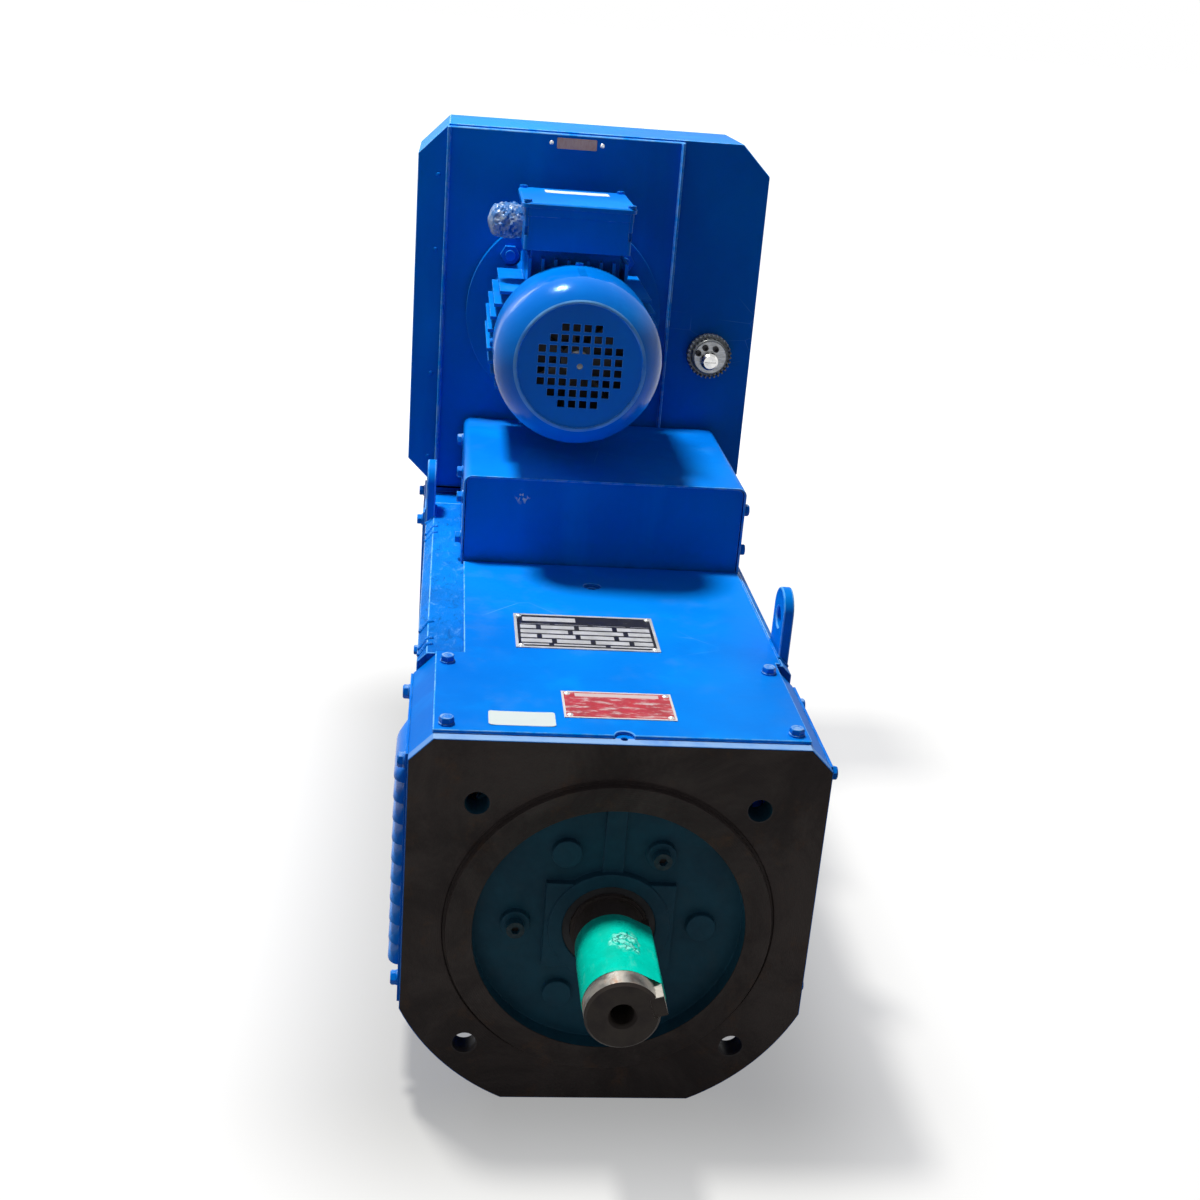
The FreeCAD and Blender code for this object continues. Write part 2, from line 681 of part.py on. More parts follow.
def make_de_inner_bearing_cap():
    outer_r = DE_BEARING.outer_r
    cap = tube_y(CAP_R, BODY_R + SEAT_CLEAR, DE_CAP_Y, DE_CAP_Y + CAP_T)
    lip = tube_y(outer_r - FIT_GAP, outer_r - CAP_LIP, DE_CAP_Y - CAP_GAP + HOLE_PLAY, DE_CAP_Y)
    return cap.fuse(lip).cut(drill(CAP_PLACES, CAP_SCREW_R + HOLE_PLAY, CAP_DRILL)).removeSplitter()


def make_nde_bearing_cover():
    face = NDE_END + NDE_COVER_T
    slope = NDE_COVER_T / 5
    cover = turned_y([(0, NDE_END), (NDE_HUB_R, NDE_END), (NDE_HUB_R, face - slope),
                      (NDE_HUB_R - slope, face), (0, face)])
    cover = cover.cut(rod_y(NDE_BEARING.pitch_r, NDE_END, NDE_END + NDE_COVER_ROOM))
    return cover.cut(drill(NDE_PLACES, SCREW_R + HOLE_PLAY, NDE_COVER_T))


def socket_screw(length):
    """Socket-head screw standing on z = 0 with its shank below."""
    head = Part.makeCylinder(SOCKET_HEAD_R, SOCKET_HEAD_H)
    head = head.cut(hexagon(SOCKET_AF, SOCKET_D, SOCKET_HEAD_H - SOCKET_D))
    return head.fuse(Part.makeCylinder(CAP_SCREW_R, length, V(0, 0, -length))).removeSplitter()


def make_bearing_cap_screws():
    cap_depth = DE_CAP_Y + CAP_T - BOSS_Y - HOLE_EXTRA
    screws = [aimed(socket_screw(cap_depth), base, way) for base, way in CAP_PLACES]
    return screws + [aimed(hex_screw(NDE_SCREW_LEN), base, way) for base, way in NDE_PLACES]


def make_top_cover():
    z0 = HALF
    z1 = HALF + TOP_SHEET
    front = box(-COVER_X, COVER_X, COVER_FRONT, COVER_STEP, z0, z1)
    rear = box(COVER_REAR_X[0], COVER_REAR_X[1], COVER_STEP, COVER_END, z0, z1)
    notch = rod_z(NOTCH_R, z0, z1, 0, COVER_FRONT)
    eye = rod_z(TAPPED_CLEAR_R, z0, z1, 0, TAPPED_HOLE_Y)
    sheet = front.fuse(rear).removeSplitter().cut([notch, eye])
    return sheet.cut(drill(TOP_PLACES, SCREW_R + HOLE_PLAY, TOP_SHEET))


def louvre(side, z):
    """Hood of one louvre, open at its lower edge."""
    face = HALF
    out = HALF + SIDE_SHEET + LOUVRE_OUT
    top = z + LOUVRE_RISE
    low = z - LOUVRE_DROP
    back = out - LOUVRE_SKIN
    outline = [(face, top), (face + SIDE_SHEET, top), (out, low + LOUVRE_SLOPE), (out, low),
               (back, low), (back, low + LOUVRE_SLOPE - LOUVRE_SKIN / 3), (face, top - LOUVRE_SLOPE)]
    return prism_y([(side * x, height) for x, height in outline],
                   LOUVRE_Y[0] + LOUVRE_INSET, LOUVRE_Y[1] - LOUVRE_INSET)


def make_louvre_covers():
    covers = []
    for side in (-1, 1):
        inner = side * HALF
        outer = side * (HALF + SIDE_SHEET)
        sheet = box(min(inner, outer), max(inner, outer), LOUVRE_Y[0], LOUVRE_Y[1], *SIDE_Z)
        levels = [LOUVRE_TOP - LOUVRE_PITCH * i for i in range(LOUVRES)]
        inset = LOUVRE_INSET + SIDE_SHEET
        slots = [box(-HALF - PAST, HALF + PAST, LOUVRE_Y[0] + inset, LOUVRE_Y[1] - inset,
                     z - LOUVRE_DROP, z + LOUVRE_RISE - LOUVRE_SLOPE) for z in levels]
        sheet = sheet.cut(slots).fuse([louvre(side, z) for z in levels])
        sheet = sheet.cut(drill(LOUVRE_PLACES, SCREW_R + HOLE_PLAY, SIDE_SHEET))
        covers.append(sheet.removeSplitter())
    return covers


def make_inspection_covers():
    covers = []
    for side in (-1, 1):
        inner = side * HALF
        outer = side * (HALF + SIDE_SHEET)
        sheet = box(min(inner, outer), max(inner, outer), *INSPECTION_Y, *SIDE_Z)
        covers.append(sheet.cut(drill(INSPECTION_PLACES, SCREW_R + HOLE_PLAY, SIDE_SHEET)))
    return covers


def make_cover_screws():
    places = TOP_PLACES + LOUVRE_PLACES + INSPECTION_PLACES
    return [aimed(hex_screw(SCREW_LEN), base, way) for base, way in places]


def make_lifting_lugs():
    frame = prism_y(section(FRAME_HALF, REAR_CUT), DE_END, FRAME_END)
    lugs = []
    for lug in LUGS:
        arch_z = lug.top - LUG_R
        side = lug.x + LUG_T
        blade = box(lug.x, side, lug.y - LUG_R, lug.y + LUG_R, LUG_FOOT, arch_z)
        blade = blade.fuse(rod_x(LUG_R, lug.x, side, lug.y, arch_z)).removeSplitter()
        eye = rod_x(LUG_HOLE_R, lug.x, side, lug.y, lug.top - LUG_HOLE_DOWN)
        lugs.append(blade.cut([eye, frame]))
    return lugs


def thin_plate(spec):
    (x0, x1), (y0, y1), thick = spec
    z0 = HALF + TOP_SHEET
    plate = box(x0, x1, y0, y1, z0, z0 + thick)
    return plate.cut(drill(rivet_places(spec), RIVET_R, thick))


def rivet_places(spec):
    (x0, x1), (y0, y1), thick = spec
    z = HALF + TOP_SHEET + thick
    return [(V(x, y, z), V(0, 0, 1)) for x in (x0 + RIVET_INSET, x1 - RIVET_INSET)
            for y in (y0 + RIVET_INSET, y1 - RIVET_INSET)]


def make_plate_rivets():
    rivets = []
    for spec in (RATING_PLATE, SERVICE_PLATE):
        dome = Part.makeSphere(RIVET_HEAD_R, V(0, 0, -RIVET_SUNK))
        dome = dome.common(Part.makeCylinder(RIVET_HEAD_R, RIVET_HEAD_R))
        rivet = dome.fuse(Part.makeCylinder(RIVET_R - FIT_GAP, spec[2], V(0, 0, -spec[2])))
        rivets += [aimed(rivet, base, way) for base, way in rivet_places(spec)]
    return rivets


def arch(x0, x1, z0, z1, radius, y0, y1):
    """Block with rounded upper edges along Y."""
    block = box(x0, x1, y0, y1, z0, z1)
    upper = [e for e in along(block, V(0, 1, 0)) if e.CenterOfMass.z > (z0 + z1) / 2]
    return block.makeFillet(radius, upper)


def make_terminal_box_lid():
    x0, x1 = TBOX_X
    y0, y1 = TBOX_Y
    z0 = HALF + TBOX_SHEET
    outer = arch(x0, x1, z0, TBOX_TOP, TBOX_CORNER_R, y0, y1)
    inner = arch(x0 + TBOX_SHEET, x1 - TBOX_SHEET, z0, TBOX_TOP - TBOX_SHEET,
                 TBOX_CORNER_R - TBOX_SHEET, y0, y1)
    return outer.cut(inner).cut(drill(TBOX_PLACES, SCREW_R + HOLE_PLAY, TBOX_SHEET))


def make_terminal_box_base():
    x0 = TBOX_X[0] + TBOX_SHEET + TBOX_PLAY
    x1 = TBOX_X[1] - TBOX_SHEET - TBOX_PLAY
    y0 = TBOX_Y[0] + TBOX_INSET
    y1 = TBOX_Y[1] - TBOX_INSET
    top = TBOX_TOP - TBOX_SHEET - TBOX_PLAY
    floor = box(x0, x1, y0, y1, HALF, HALF + TOP_SHEET)
    ends = [arch(x0, x1, HALF, top, TBOX_CORNER_R - TBOX_SHEET, y, y + TBOX_SHEET)
            for y in (y0, y1 - TBOX_SHEET)]
    posts = [box(x, x + TBOX_POST, y, y + 2 * TBOX_POST, HALF, top - TBOX_POST)
             for x in (x0, x1 - TBOX_POST) for y in (y0, y1 - 2 * TBOX_POST)]
    tab_y = TBOX_SCREWS[2][0]
    tabs = [box(x, x + TBOX_TAB, tab_y - TBOX_TAB_HALF, tab_y + TBOX_TAB_HALF, HALF, top - TBOX_POST)
            for x in (x0, x1 - TBOX_TAB)]
    lead_x0, lead_x1, lead_y0, lead_y1 = TBOX_LEAD_HOLE
    leads = box(lead_x0, lead_x1, lead_y0, lead_y1, HALF, HALF + TOP_SHEET)
    tray = floor.fuse(ends + posts + tabs).removeSplitter()
    return tray.cut([leads] + drill(TBOX_PLACES, SCREW_R + HOLE_PLAY, TBOX_POST + PAST))


def make_terminal_box_screws():
    return [aimed(hex_screw(TBOX_SCREW_LEN), base, way) for base, way in TBOX_PLACES]


def make_terminal_board():
    x0, x1, y0, y1, z0, z1 = BOARD
    board = box(x0, x1, y0, y1, z0, z1)
    middles = [(a + b - BOARD_FIN_T) / 2 for a, b in zip(STUD_X, STUD_X[1:])]
    fins = [box(x, x + BOARD_FIN_T, y0, BOARD_FIN_END, z1, z1 + BOARD_FIN_H) for x in middles]
    return board.fuse(fins).removeSplitter()


def make_terminal_studs():
    studs = []
    z = BOARD[5]
    places = [(x, STUD_Y, STUD_R) for x in STUD_X] + [(x, FIELD_STUD_Y, FIELD_STUD_R) for x in FIELD_STUD_X]
    for x, y, radius in places:
        stud = rod_z(radius, z, z + STUD_H, x, y)
        nut = hexagon(3 * radius, 1.5 * radius)
        nuts = [aimed(nut, V(x, y, z + level), V(0, 0, 1)) for level in STUD_NUTS]
        studs.append(stud.fuse(nuts).removeSplitter())
    return studs


def make_brush_rocker():
    return tube_y(ROCKER_R[1], ROCKER_R[0], *ROCKER_Y)


def make_brush_holders():
    y0, y1 = BRUSH_Y
    half = BRUSH_T + HOLDER_WALL
    body = box(HOLDER_R[0], HOLDER_R[1], y0 - HOLDER_WALL, y1 + HOLDER_WALL, -half, half)
    arm = box(ARM_START, ARM_END, ROCKER_Y[1], y0, -half, half)
    window = box(HOLDER_R[0], HOLDER_R[1], y0 - BRUSH_PLAY, y1 + BRUSH_PLAY,
                 -BRUSH_T - BRUSH_PLAY, BRUSH_T + BRUSH_PLAY)
    holder = body.fuse(arm).removeSplitter().cut(window)
    return ring_of(holder, 4, 45)


def make_brush(index):
    """Carbon brush with the spring roll that rides on its head."""
    y0, y1 = BRUSH_Y
    block = box(BRUSH_R[0] - ROLL_R, BRUSH_R[1], y0, y1, -BRUSH_T, BRUSH_T)
    block = block.cut(rod_y(BRUSH_R[0], y0, y1))
    roll = rod_y(ROLL_R, y0 + ROLL_R, y1 - ROLL_R, BRUSH_R[1] + ROLL_R, 0)
    return [swung(piece, 45 + 90 * index) for piece in (block, roll)]


def make_main_shaft():
    steps = [(SHAFT_R, 0), (SHOULDER_R, DE_BEARING.front + DE_BEARING.width), (BODY_R, BODY_END),
             (CORE_SEAT_R, FRAME_END), (COMM_SEAT_R, COMM_SEAT_END), (NDE_STEP_R, NDE_BEARING.front),
             (NDE_SEAT_R, SHAFT_END)]
    y = SHAFT_CHAMFER - SHAFT_LEN
    profile = [(0, -SHAFT_LEN), (SHAFT_R - SHAFT_CHAMFER, -SHAFT_LEN)]
    for radius, end in steps:
        profile += [(radius, y), (radius, end)]
        y = end
    shaft = turned_y(profile + [(0, SHAFT_END)])
    thread = rod_y(THREAD_R, -SHAFT_LEN, CENTRE_D + THREAD_DEPTH - SHAFT_LEN)
    mouth = Part.makeCone(CENTRE_R, THREAD_R, CENTRE_D, V(0, -SHAFT_LEN, 0), V(0, 1, 0))
    keyway = box(SHAFT_R - KEYWAY_D, SHAFT_R, -SHAFT_LEN, KEY_LEN - SHAFT_LEN, -KEY_W / 2, KEY_W / 2)
    return shaft.cut([thread, mouth, swung(keyway, KEY_ANGLE)])


def make_shaft_key():
    floor = SHAFT_R - KEYWAY_D
    key = box(floor, floor + KEY_H, KEY_BACK - SHAFT_LEN, KEY_LEN - SHAFT_LEN, -KEY_W / 2, KEY_W / 2)
    return swung(key, KEY_ANGLE)


def make_armature_core():
    core = tube_y(CORE_R, CORE_SEAT_R + FIT_GAP, *CORE_Y)
    slot = box(SLOT_FLOOR_R, CORE_R + PAST, *CORE_Y, -SLOT_W / 2, SLOT_W / 2)
    return core.cut(ring_of(slot, SLOTS))


def make_armature_winding():
    inner, outer = WINDING_R
    y0, y1 = CORE_Y
    half = SLOT_W / 2 - WINDING_PLAY
    bar = box(SLOT_FLOOR_R + WINDING_PLAY, outer - SHEET_GAP, y0 - HEAD_TAPER, y1 + HEAD_TAPER, -half, half)
    head_end = y0 - HEAD_FRONT
    front = turned_y([(inner, head_end), (outer - HEAD_TAPER, head_end), (outer, head_end + HEAD_TAPER),
                      (outer, y0), (inner, y0)])
    taper_end = COMM_Y[0] - RISER_T - SHEET_GAP
    rear = turned_y([(inner, y1), (outer, y1), (outer, y1 + HEAD_REAR), (RISER_R, taper_end),
                     (inner, taper_end)])
    return front.fuse(ring_of(bar, SLOTS) + [rear]).removeSplitter()


def make_commutator():
    y0, y1 = COMM_Y
    ring = turned_y([(COMM_BORE_R, y0 - RISER_T), (RISER_R, y0 - RISER_T), (RISER_R, y0),
                     (COMM_R, y0), (COMM_R, y1), (COMM_BORE_R, y1)])
    slit = box(COMM_R - SLIT_D, RISER_R + PAST, y0 - RISER_T, y1, -SLIT_W / 2, SLIT_W / 2)
    return ring.cut(ring_of(slit, SEGMENTS))


def make_commutator_hub():
    return tube_y(COMM_BORE_R - FIT_GAP, COMM_SEAT_R + FIT_GAP, COMM_Y[0] - RISER_T, COMM_Y[1] + HUB_OVER)


def case_outline(inset=0.0):
    half = CASE_HALF - inset
    z0 = CASE_Z[0] + inset
    z1 = CASE_Z[1] - inset
    cut = CASE_CUT - inset * (2 - math.sqrt(2))
    return [(-half + cut, z1), (half - cut, z1), (half, z1 - cut), (half, z0 + cut),
            (half - cut, z0), (-half + cut, z0), (-half, z0 + cut), (-half, z1 - cut)]


def make_blower_base_frame():
    frame = box(-BASE_X, BASE_X, CASE_Y[0], CASE_Y[1], HALF, CASE_Z[0])
    opening = box(-DUCT_X, DUCT_X, *DUCT_Y, HALF, CASE_Z[0])
    return frame.cut([opening] + drill(BASE_PLACES, SCREW_R + HOLE_PLAY, BASE_SCREW_LEN))


def make_blower_casing_band():
    band = prism_y(case_outline(), *CASE_Y).cut(prism_y(case_outline(CASE_SHEET), *CASE_Y))
    opening = box(-DUCT_X, DUCT_X, *DUCT_Y, CASE_Z[0], CASE_Z[0] + CASE_SHEET)
    return band.cut([opening] + drill(BASE_PLACES, SCREW_R + HOLE_PLAY, BASE_SCREW_LEN))


def stud_holes(y0, y1):
    return [rod_y(BM_STUD_R + BM_STUD_PLAY, y0, y1, p.x, p.z) for p in BM_STUDS]


def make_blower_front_plate():
    plate = prism_y(case_outline(), FRONT_Y, CASE_Y[0])
    hole = rod_y(BM_SPIGOT_R + BM_SPIGOT_PLAY, FRONT_Y, CASE_Y[0], BLOWER_X, BLOWER_Z)
    return plate.cut([hole] + stud_holes(FRONT_Y, CASE_Y[0]))


def make_blower_mounting_panel():
    x0, x1 = PANEL_X
    panel = box(x0, x1, PANEL_Y, FRONT_Y, *PANEL_Z)
    lips = [box(x, x + PLATE_T, PANEL_Y - PANEL_LIP, PANEL_Y, *PANEL_Z) for x in (x0, x1 - PLATE_T)]
    hole = rod_y(BM_SPIGOT_R + BM_SPIGOT_PLAY, PANEL_Y, FRONT_Y, BLOWER_X, BLOWER_Z)
    panel = panel.fuse(lips).common(prism_y(case_outline(), PANEL_Y - PANEL_LIP, FRONT_Y))
    return panel.removeSplitter().cut([hole] + stud_holes(PANEL_Y, FRONT_Y))


def make_blower_back_plate():
    plate = prism_y(case_outline(), CASE_Y[1], CASE_Y[1] + PLATE_T)
    plate = plate.cut(rod_y(INLET_R, CASE_Y[1], CASE_Y[1] + PLATE_T, BLOWER_X, BLOWER_Z))
    throat = WHEEL_Y[1] + THROAT_GAP
    mouth = turned_y([(INLET_R, CASE_Y[1] + PLATE_T), (THROAT_R, throat), (THROAT_R + CASE_SHEET, throat),
                      (INLET_R + CASE_SHEET, CASE_Y[1] + PLATE_T)], BLOWER_X, BLOWER_Z)
    return plate.fuse(mouth).removeSplitter()


def make_blower_scroll():
    """Spiral air guide from the cut-off round the wheel to the outlet, with its two straight legs."""
    turn = 180.0 - SCROLL_START
    sides = []
    for offset in (CASE_SHEET / 2, -CASE_SHEET / 2):
        points = []
        for i in range(SCROLL_POINTS):
            part = i / (SCROLL_POINTS - 1)
            radius = SCROLL_R[0] + (SCROLL_R[1] - SCROLL_R[0]) * part + offset
            points += at_angles(radius, [SCROLL_START + turn * part], CASE_Y[0], BLOWER_X, BLOWER_Z)
        spline = Part.BSplineCurve()
        spline.interpolate(points)
        sides.append((spline.toShape(), points))
    (outer, outer_points), (inner, inner_points) = sides
    ends = [Part.makeLine(outer_points[i], inner_points[i]) for i in (0, -1)]
    wire = Part.Wire(Part.__sortEdges__([outer, inner] + ends))
    spiral = Part.Face(wire).extrude(V(0, CASE_Y[1] - CASE_Y[0], 0))
    tongue = at_angles(SCROLL_R[0], [SCROLL_START], 0.0, BLOWER_X, BLOWER_Z)[0]
    floor = CASE_Z[0] + CASE_SHEET
    left = BLOWER_X - SCROLL_R[1]
    half = CASE_SHEET / 2
    legs = [box(x - half, x + half, *CASE_Y, floor, z + half)
            for x, z in ((tongue.x, tongue.z), (left, BLOWER_Z))]
    room = prism_y(case_outline(CASE_SHEET), *CASE_Y)
    return spiral.fuse(legs).common(room).removeSplitter()


def make_impeller():
    y0, y1 = WHEEL_Y
    disc = rod_y(WHEEL_R, y0, y0 + WHEEL_SHEET, BLOWER_X, BLOWER_Z)
    hub = rod_y(WHEEL_HUB_R, *WHEEL_HUB_Y, BLOWER_X, BLOWER_Z)
    shroud = tube_y(WHEEL_R, BLADE_R - BLADE_HALF, y1 - WHEEL_SHEET, y1, BLOWER_X, BLOWER_Z)
    blade = box(-BLADE_HALF, BLADE_HALF, y0 + BLADE_T, y1 - BLADE_T, -BLADE_T / 2, BLADE_T / 2)
    blade = swung(blade, BLADE_ANGLE)
    blade.translate(V(BLOWER_X + BLADE_R, 0, BLOWER_Z))
    blades = ring_of(blade, BLADES, 0.0, BLOWER_X, BLOWER_Z)
    wheel = disc.fuse([hub, shroud] + blades).removeSplitter()
    return wheel.cut(rod_y(BM_SHAFT_R + FIT_GAP, *WHEEL_HUB_Y, BLOWER_X, BLOWER_Z))


def make_air_inlet_guard():
    y = CASE_Y[1] + PLATE_T
    inner, outer = GUARD_RIM_R
    half = GUARD_BAR / 2
    wire = GUARD_T / 2
    rim = tube_y(outer, inner, y, y + GUARD_T, BLOWER_X, BLOWER_Z)
    bar = box(BLOWER_X - outer + half, BLOWER_X + outer - half, y, y + GUARD_T,
              BLOWER_Z - half, BLOWER_Z + half)
    bars = [swung(bar, angle, BLOWER_X, BLOWER_Z) for angle in (0, 90)]
    rings = [tube_y(r + wire, r - wire, y + 1, y + 1 + GUARD_T, BLOWER_X, BLOWER_Z) for r in GUARD_RINGS]
    return rim.fuse(bars + rings).removeSplitter()


def make_blower_motor_housing():
    y0, y1 = BM_Y
    shell = tube_y(BM_BODY_R, BM_BORE_R, y0, y1, BLOWER_X, BLOWER_Z)
    fins = []
    half = BM_FIN_T / 2
    for offset in BM_FINS:
        inside = math.sqrt(BM_BODY_R ** 2 - offset ** 2) - BM_FIN_T
        for side in (-1, 1):
            low, high = sorted((side * inside, side * BM_FIN_TOP))
            fins.append(box(BLOWER_X + offset - half, BLOWER_X + offset + half, y0, y1,
                            BLOWER_Z + low, BLOWER_Z + high))
            tip = BM_FIN_SIDE - BM_FIN_CROWN * (offset / BM_FINS[-1]) ** 2
            low, high = sorted((side * inside, side * tip))
            fins.append(box(BLOWER_X + low, BLOWER_X + high, y0, y1,
                            BLOWER_Z + offset - half, BLOWER_Z + offset + half))
    pad = box(BTB_X[0] + BTB_CORNER_R, BTB_X[1] - BTB_CORNER_R, BM_Y[0] + PAST, BTB_Y[1] - BTB_WALL,
              BTB_Z[0] - BM_PAD_DOWN, BTB_Z[0])
    housing = shell.fuse(fins + [pad]).removeSplitter()
    return housing.cut(rod_y(BM_BORE_R, y0, y1, BLOWER_X, BLOWER_Z))


def make_blower_motor_flange():
    y0 = BM_Y[1]
    near, far = BM_CONE_R
    cone = turned_y([(0, y0), (near, y0), (far, BM_FLANGE_Y), (0, BM_FLANGE_Y)], BLOWER_X, BLOWER_Z)
    disc = rod_y(BM_FLANGE_R, BM_FLANGE_Y, PANEL_Y, BLOWER_X, BLOWER_Z)
    spigot = rod_y(BM_SPIGOT_R, PANEL_Y, CASE_Y[0], BLOWER_X, BLOWER_Z)
    seat = rod_y(SMALL_BEARING_R + FIT_GAP, y0, y0 + SEAT_CLEAR + SMALL_BEARING_W, BLOWER_X, BLOWER_Z)
    passage = rod_y(BM_SHAFT_R + SEAT_CLEAR, y0, CASE_Y[0], BLOWER_X, BLOWER_Z)
    pockets = [rod_y(BM_STUD_POCKET_R, y0, BM_FLANGE_Y, p.x, p.z) for p in BM_STUDS]
    flange = cone.fuse([disc, spigot]).removeSplitter()
    return flange.cut([seat, passage] + pockets + stud_holes(BM_FLANGE_Y, PANEL_Y))


def make_blower_rear_shield():
    y1 = BM_Y[0]
    y0 = y1 - BM_SHIELD_T
    disc = rod_y(COWL_R - COWL_SHEET - HOLE_PLAY, y0, y1, BLOWER_X, BLOWER_Z)
    seat = rod_y(SMALL_BEARING_R + FIT_GAP, y1 - SMALL_BEARING_W, y1, BLOWER_X, BLOWER_Z)
    passage = rod_y(BM_SHAFT_R + SEAT_CLEAR, y0, y1, BLOWER_X, BLOWER_Z)
    return disc.cut([seat, passage] + small_holes(COWL_SCREWS, COWL_SCREW_LEN))


def make_blower_stator():
    y0, y1 = BM_CORE_Y
    inner, outer = BM_HEAD_R
    core = tube_y(BM_BORE_R - HOLE_PLAY, BM_STATOR_R, y0, y1, BLOWER_X, BLOWER_Z)
    heads = [tube_y(outer, inner, y, y + BM_HEAD_LEN, BLOWER_X, BLOWER_Z) for y in (y0 - BM_HEAD_LEN, y1)]
    return [core] + heads


def make_blower_rotor():
    shaft = rod_y(BM_SHAFT_R, BM_SHAFT_START, WHEEL_HUB_Y[1], BLOWER_X, BLOWER_Z)
    cage = rod_y(BM_ROTOR_R, *BM_CORE_Y, BLOWER_X, BLOWER_Z)
    return shaft.fuse(cage).removeSplitter()


def make_cooling_fan():
    y0, y1 = FAN_Y
    half = FAN_BLADE_T / 2
    hub = rod_y(FAN_HUB_R, y0, y1, BLOWER_X, BLOWER_Z)
    disc = rod_y(FAN_DISC_R, y1 - FAN_SHEET, y1, BLOWER_X, BLOWER_Z)
    blade = box(BLOWER_X + BM_SHAFT_R, BLOWER_X + FAN_BLADE_R, FAN_BLADE_Y, y1 - FAN_BLADE_T,
                BLOWER_Z - half, BLOWER_Z + half)
    fan = hub.fuse([disc] + ring_of(blade, FAN_BLADES, 0.0, BLOWER_X, BLOWER_Z)).removeSplitter()
    return fan.cut(rod_y(BM_SHAFT_R + FIT_GAP, y0, y1, BLOWER_X, BLOWER_Z))


def make_fan_cowl():
    front, rear = COWL_Y
    face = front + COWL_SUNK
    skin = COWL_SHEET
    lip = COWL_FACE_R - COWL_RIM / 2
    edge = V(COWL_FACE_R + COWL_RIM, front, 0)
    inner_edge = V(COWL_FACE_R, face + skin, 0)
    shoulder = V(*COWL_SHOULDER, 0)
    inner_shoulder = shoulder + V(-skin, skin, 0) / math.sqrt(2)
    outer_arc = Part.Arc(V(COWL_R, COWL_STRAIGHT, 0), shoulder, edge)
    inner_arc = Part.Arc(V(COWL_R - skin, COWL_STRAIGHT, 0), inner_shoulder, inner_edge)
    corners = [edge, V(lip, front, 0), V(lip, face, 0), V(0, face, 0), V(0, face + skin, 0), inner_edge]
    rim = [V(COWL_R - skin, COWL_STRAIGHT, 0), V(COWL_R - skin, rear, 0), V(COWL_R, rear, 0),
           V(COWL_R, COWL_STRAIGHT, 0)]
    lines = [Part.makeLine(a, b) for run in (corners, rim) for a, b in zip(run, run[1:])]
    wire = Part.Wire(Part.__sortEdges__([outer_arc.toShape(), inner_arc.toShape()] + lines))
    cowl = Part.Face(wire).revolve(V(0, 0, 0), V(0, 1, 0), 360)
    cowl.translate(V(BLOWER_X, 0, BLOWER_Z))
    return cowl.cut(grille_holes(front, face + skin) + small_holes(COWL_SCREWS, COWL_SCREW_LEN))


def grille_holes(y0, y1):
    """Square holes in rows, without the middle four, and the round hole at the centre."""
    holes = [rod_y(GRILLE_CENTRE_R, y0, y1, BLOWER_X, BLOWER_Z)]
    half = GRILLE_HOLE / 2
    for row, count in enumerate(GRILLE_ROWS):
        z = (len(GRILLE_ROWS) / 2 - 0.5 - row) * GRILLE_PITCH
        for column in range(count):
            x = (column - (count - 1) / 2) * GRILLE_PITCH
            if max(abs(x), abs(z)) > GRILLE_PITCH:
                holes.append(box(BLOWER_X + x - half, BLOWER_X + x + half, y0, y1,
                                 BLOWER_Z + z - half, BLOWER_Z + z + half))
    return holes


def rounded_block(x0, x1, y0, y1, z0, z1, radius):
    """Block with its four upright edges rounded."""
    block = box(x0, x1, y0, y1, z0, z1)
    return block.makeFillet(radius, along(block, V(0, 0, 1)))


def make_blower_terminal_box():
    x0, x1 = BTB_X
    y0, y1 = BTB_Y
    z0, z1 = BTB_Z
    over = BTB_RIM_OVER
    rim = rounded_block(x0 - over, x1 + over, y0 - over, y1 + over, BTB_RIM_Z, z1, BTB_CORNER_R)
    shell = rounded_block(x0, x1, y0, y1, z0, z1, BTB_CORNER_R).fuse(rim)
    room = box(x0 + BTB_WALL, x1 - BTB_WALL, y0 + BTB_WALL, y1 - BTB_WALL, z0 + BTB_WALL, z1)
    inset = BTB_SCREW_IN + BTB_POST_IN
    posts = [rod_z(BTB_POST_R, z0, z1, x, y)
             for x in (x0 + inset, x1 - inset) for y in (y0 + inset, y1 - inset)]
    shell = shell.cut(room).fuse(posts).removeSplitter()
    entry = rod_x(GLAND_R + HOLE_PLAY, x0, x0 + BTB_WALL, GLAND_Y, GLAND_Z)
    return shell.cut([entry] + small_holes(BTB_SCREWS, BTB_DRILL))


def make_blower_terminal_lid():
    over = BTB_LID_OVER
    lid = rounded_block(BTB_X[0] - over, BTB_X[1] + over, BTB_Y[0] - over, BTB_Y[1] + over,
                        BTB_Z[1], BTB_LID_TOP, BTB_CORNER_R)
    upper = [e for e in lid.Edges if e.BoundBox.ZMin > BTB_LID_TOP - BTB_LID_CHAMFER]
    lid = lid.makeChamfer(BTB_LID_CHAMFER, upper)
    return lid.cut(small_holes(BTB_SCREWS, BTB_DRILL))


def small_screw(length):
    """Small pan-head screw standing on z = 0 with its shank below."""
    half = SMALL_SLOT_D / 2
    slot = box(-SMALL_HEAD_R, SMALL_HEAD_R, -half, half, SMALL_HEAD_T - SMALL_SLOT_D, SMALL_HEAD_T)
    head = Part.makeCylinder(SMALL_HEAD_R, SMALL_HEAD_T).cut(slot)
    return head.fuse(Part.makeCylinder(SMALL_SCREW_R, length, V(0, 0, -length))).removeSplitter()


def small_holes(places, depth):
    return drill(places, SMALL_SCREW_R + HOLE_PLAY, depth + HOLE_PLAY)


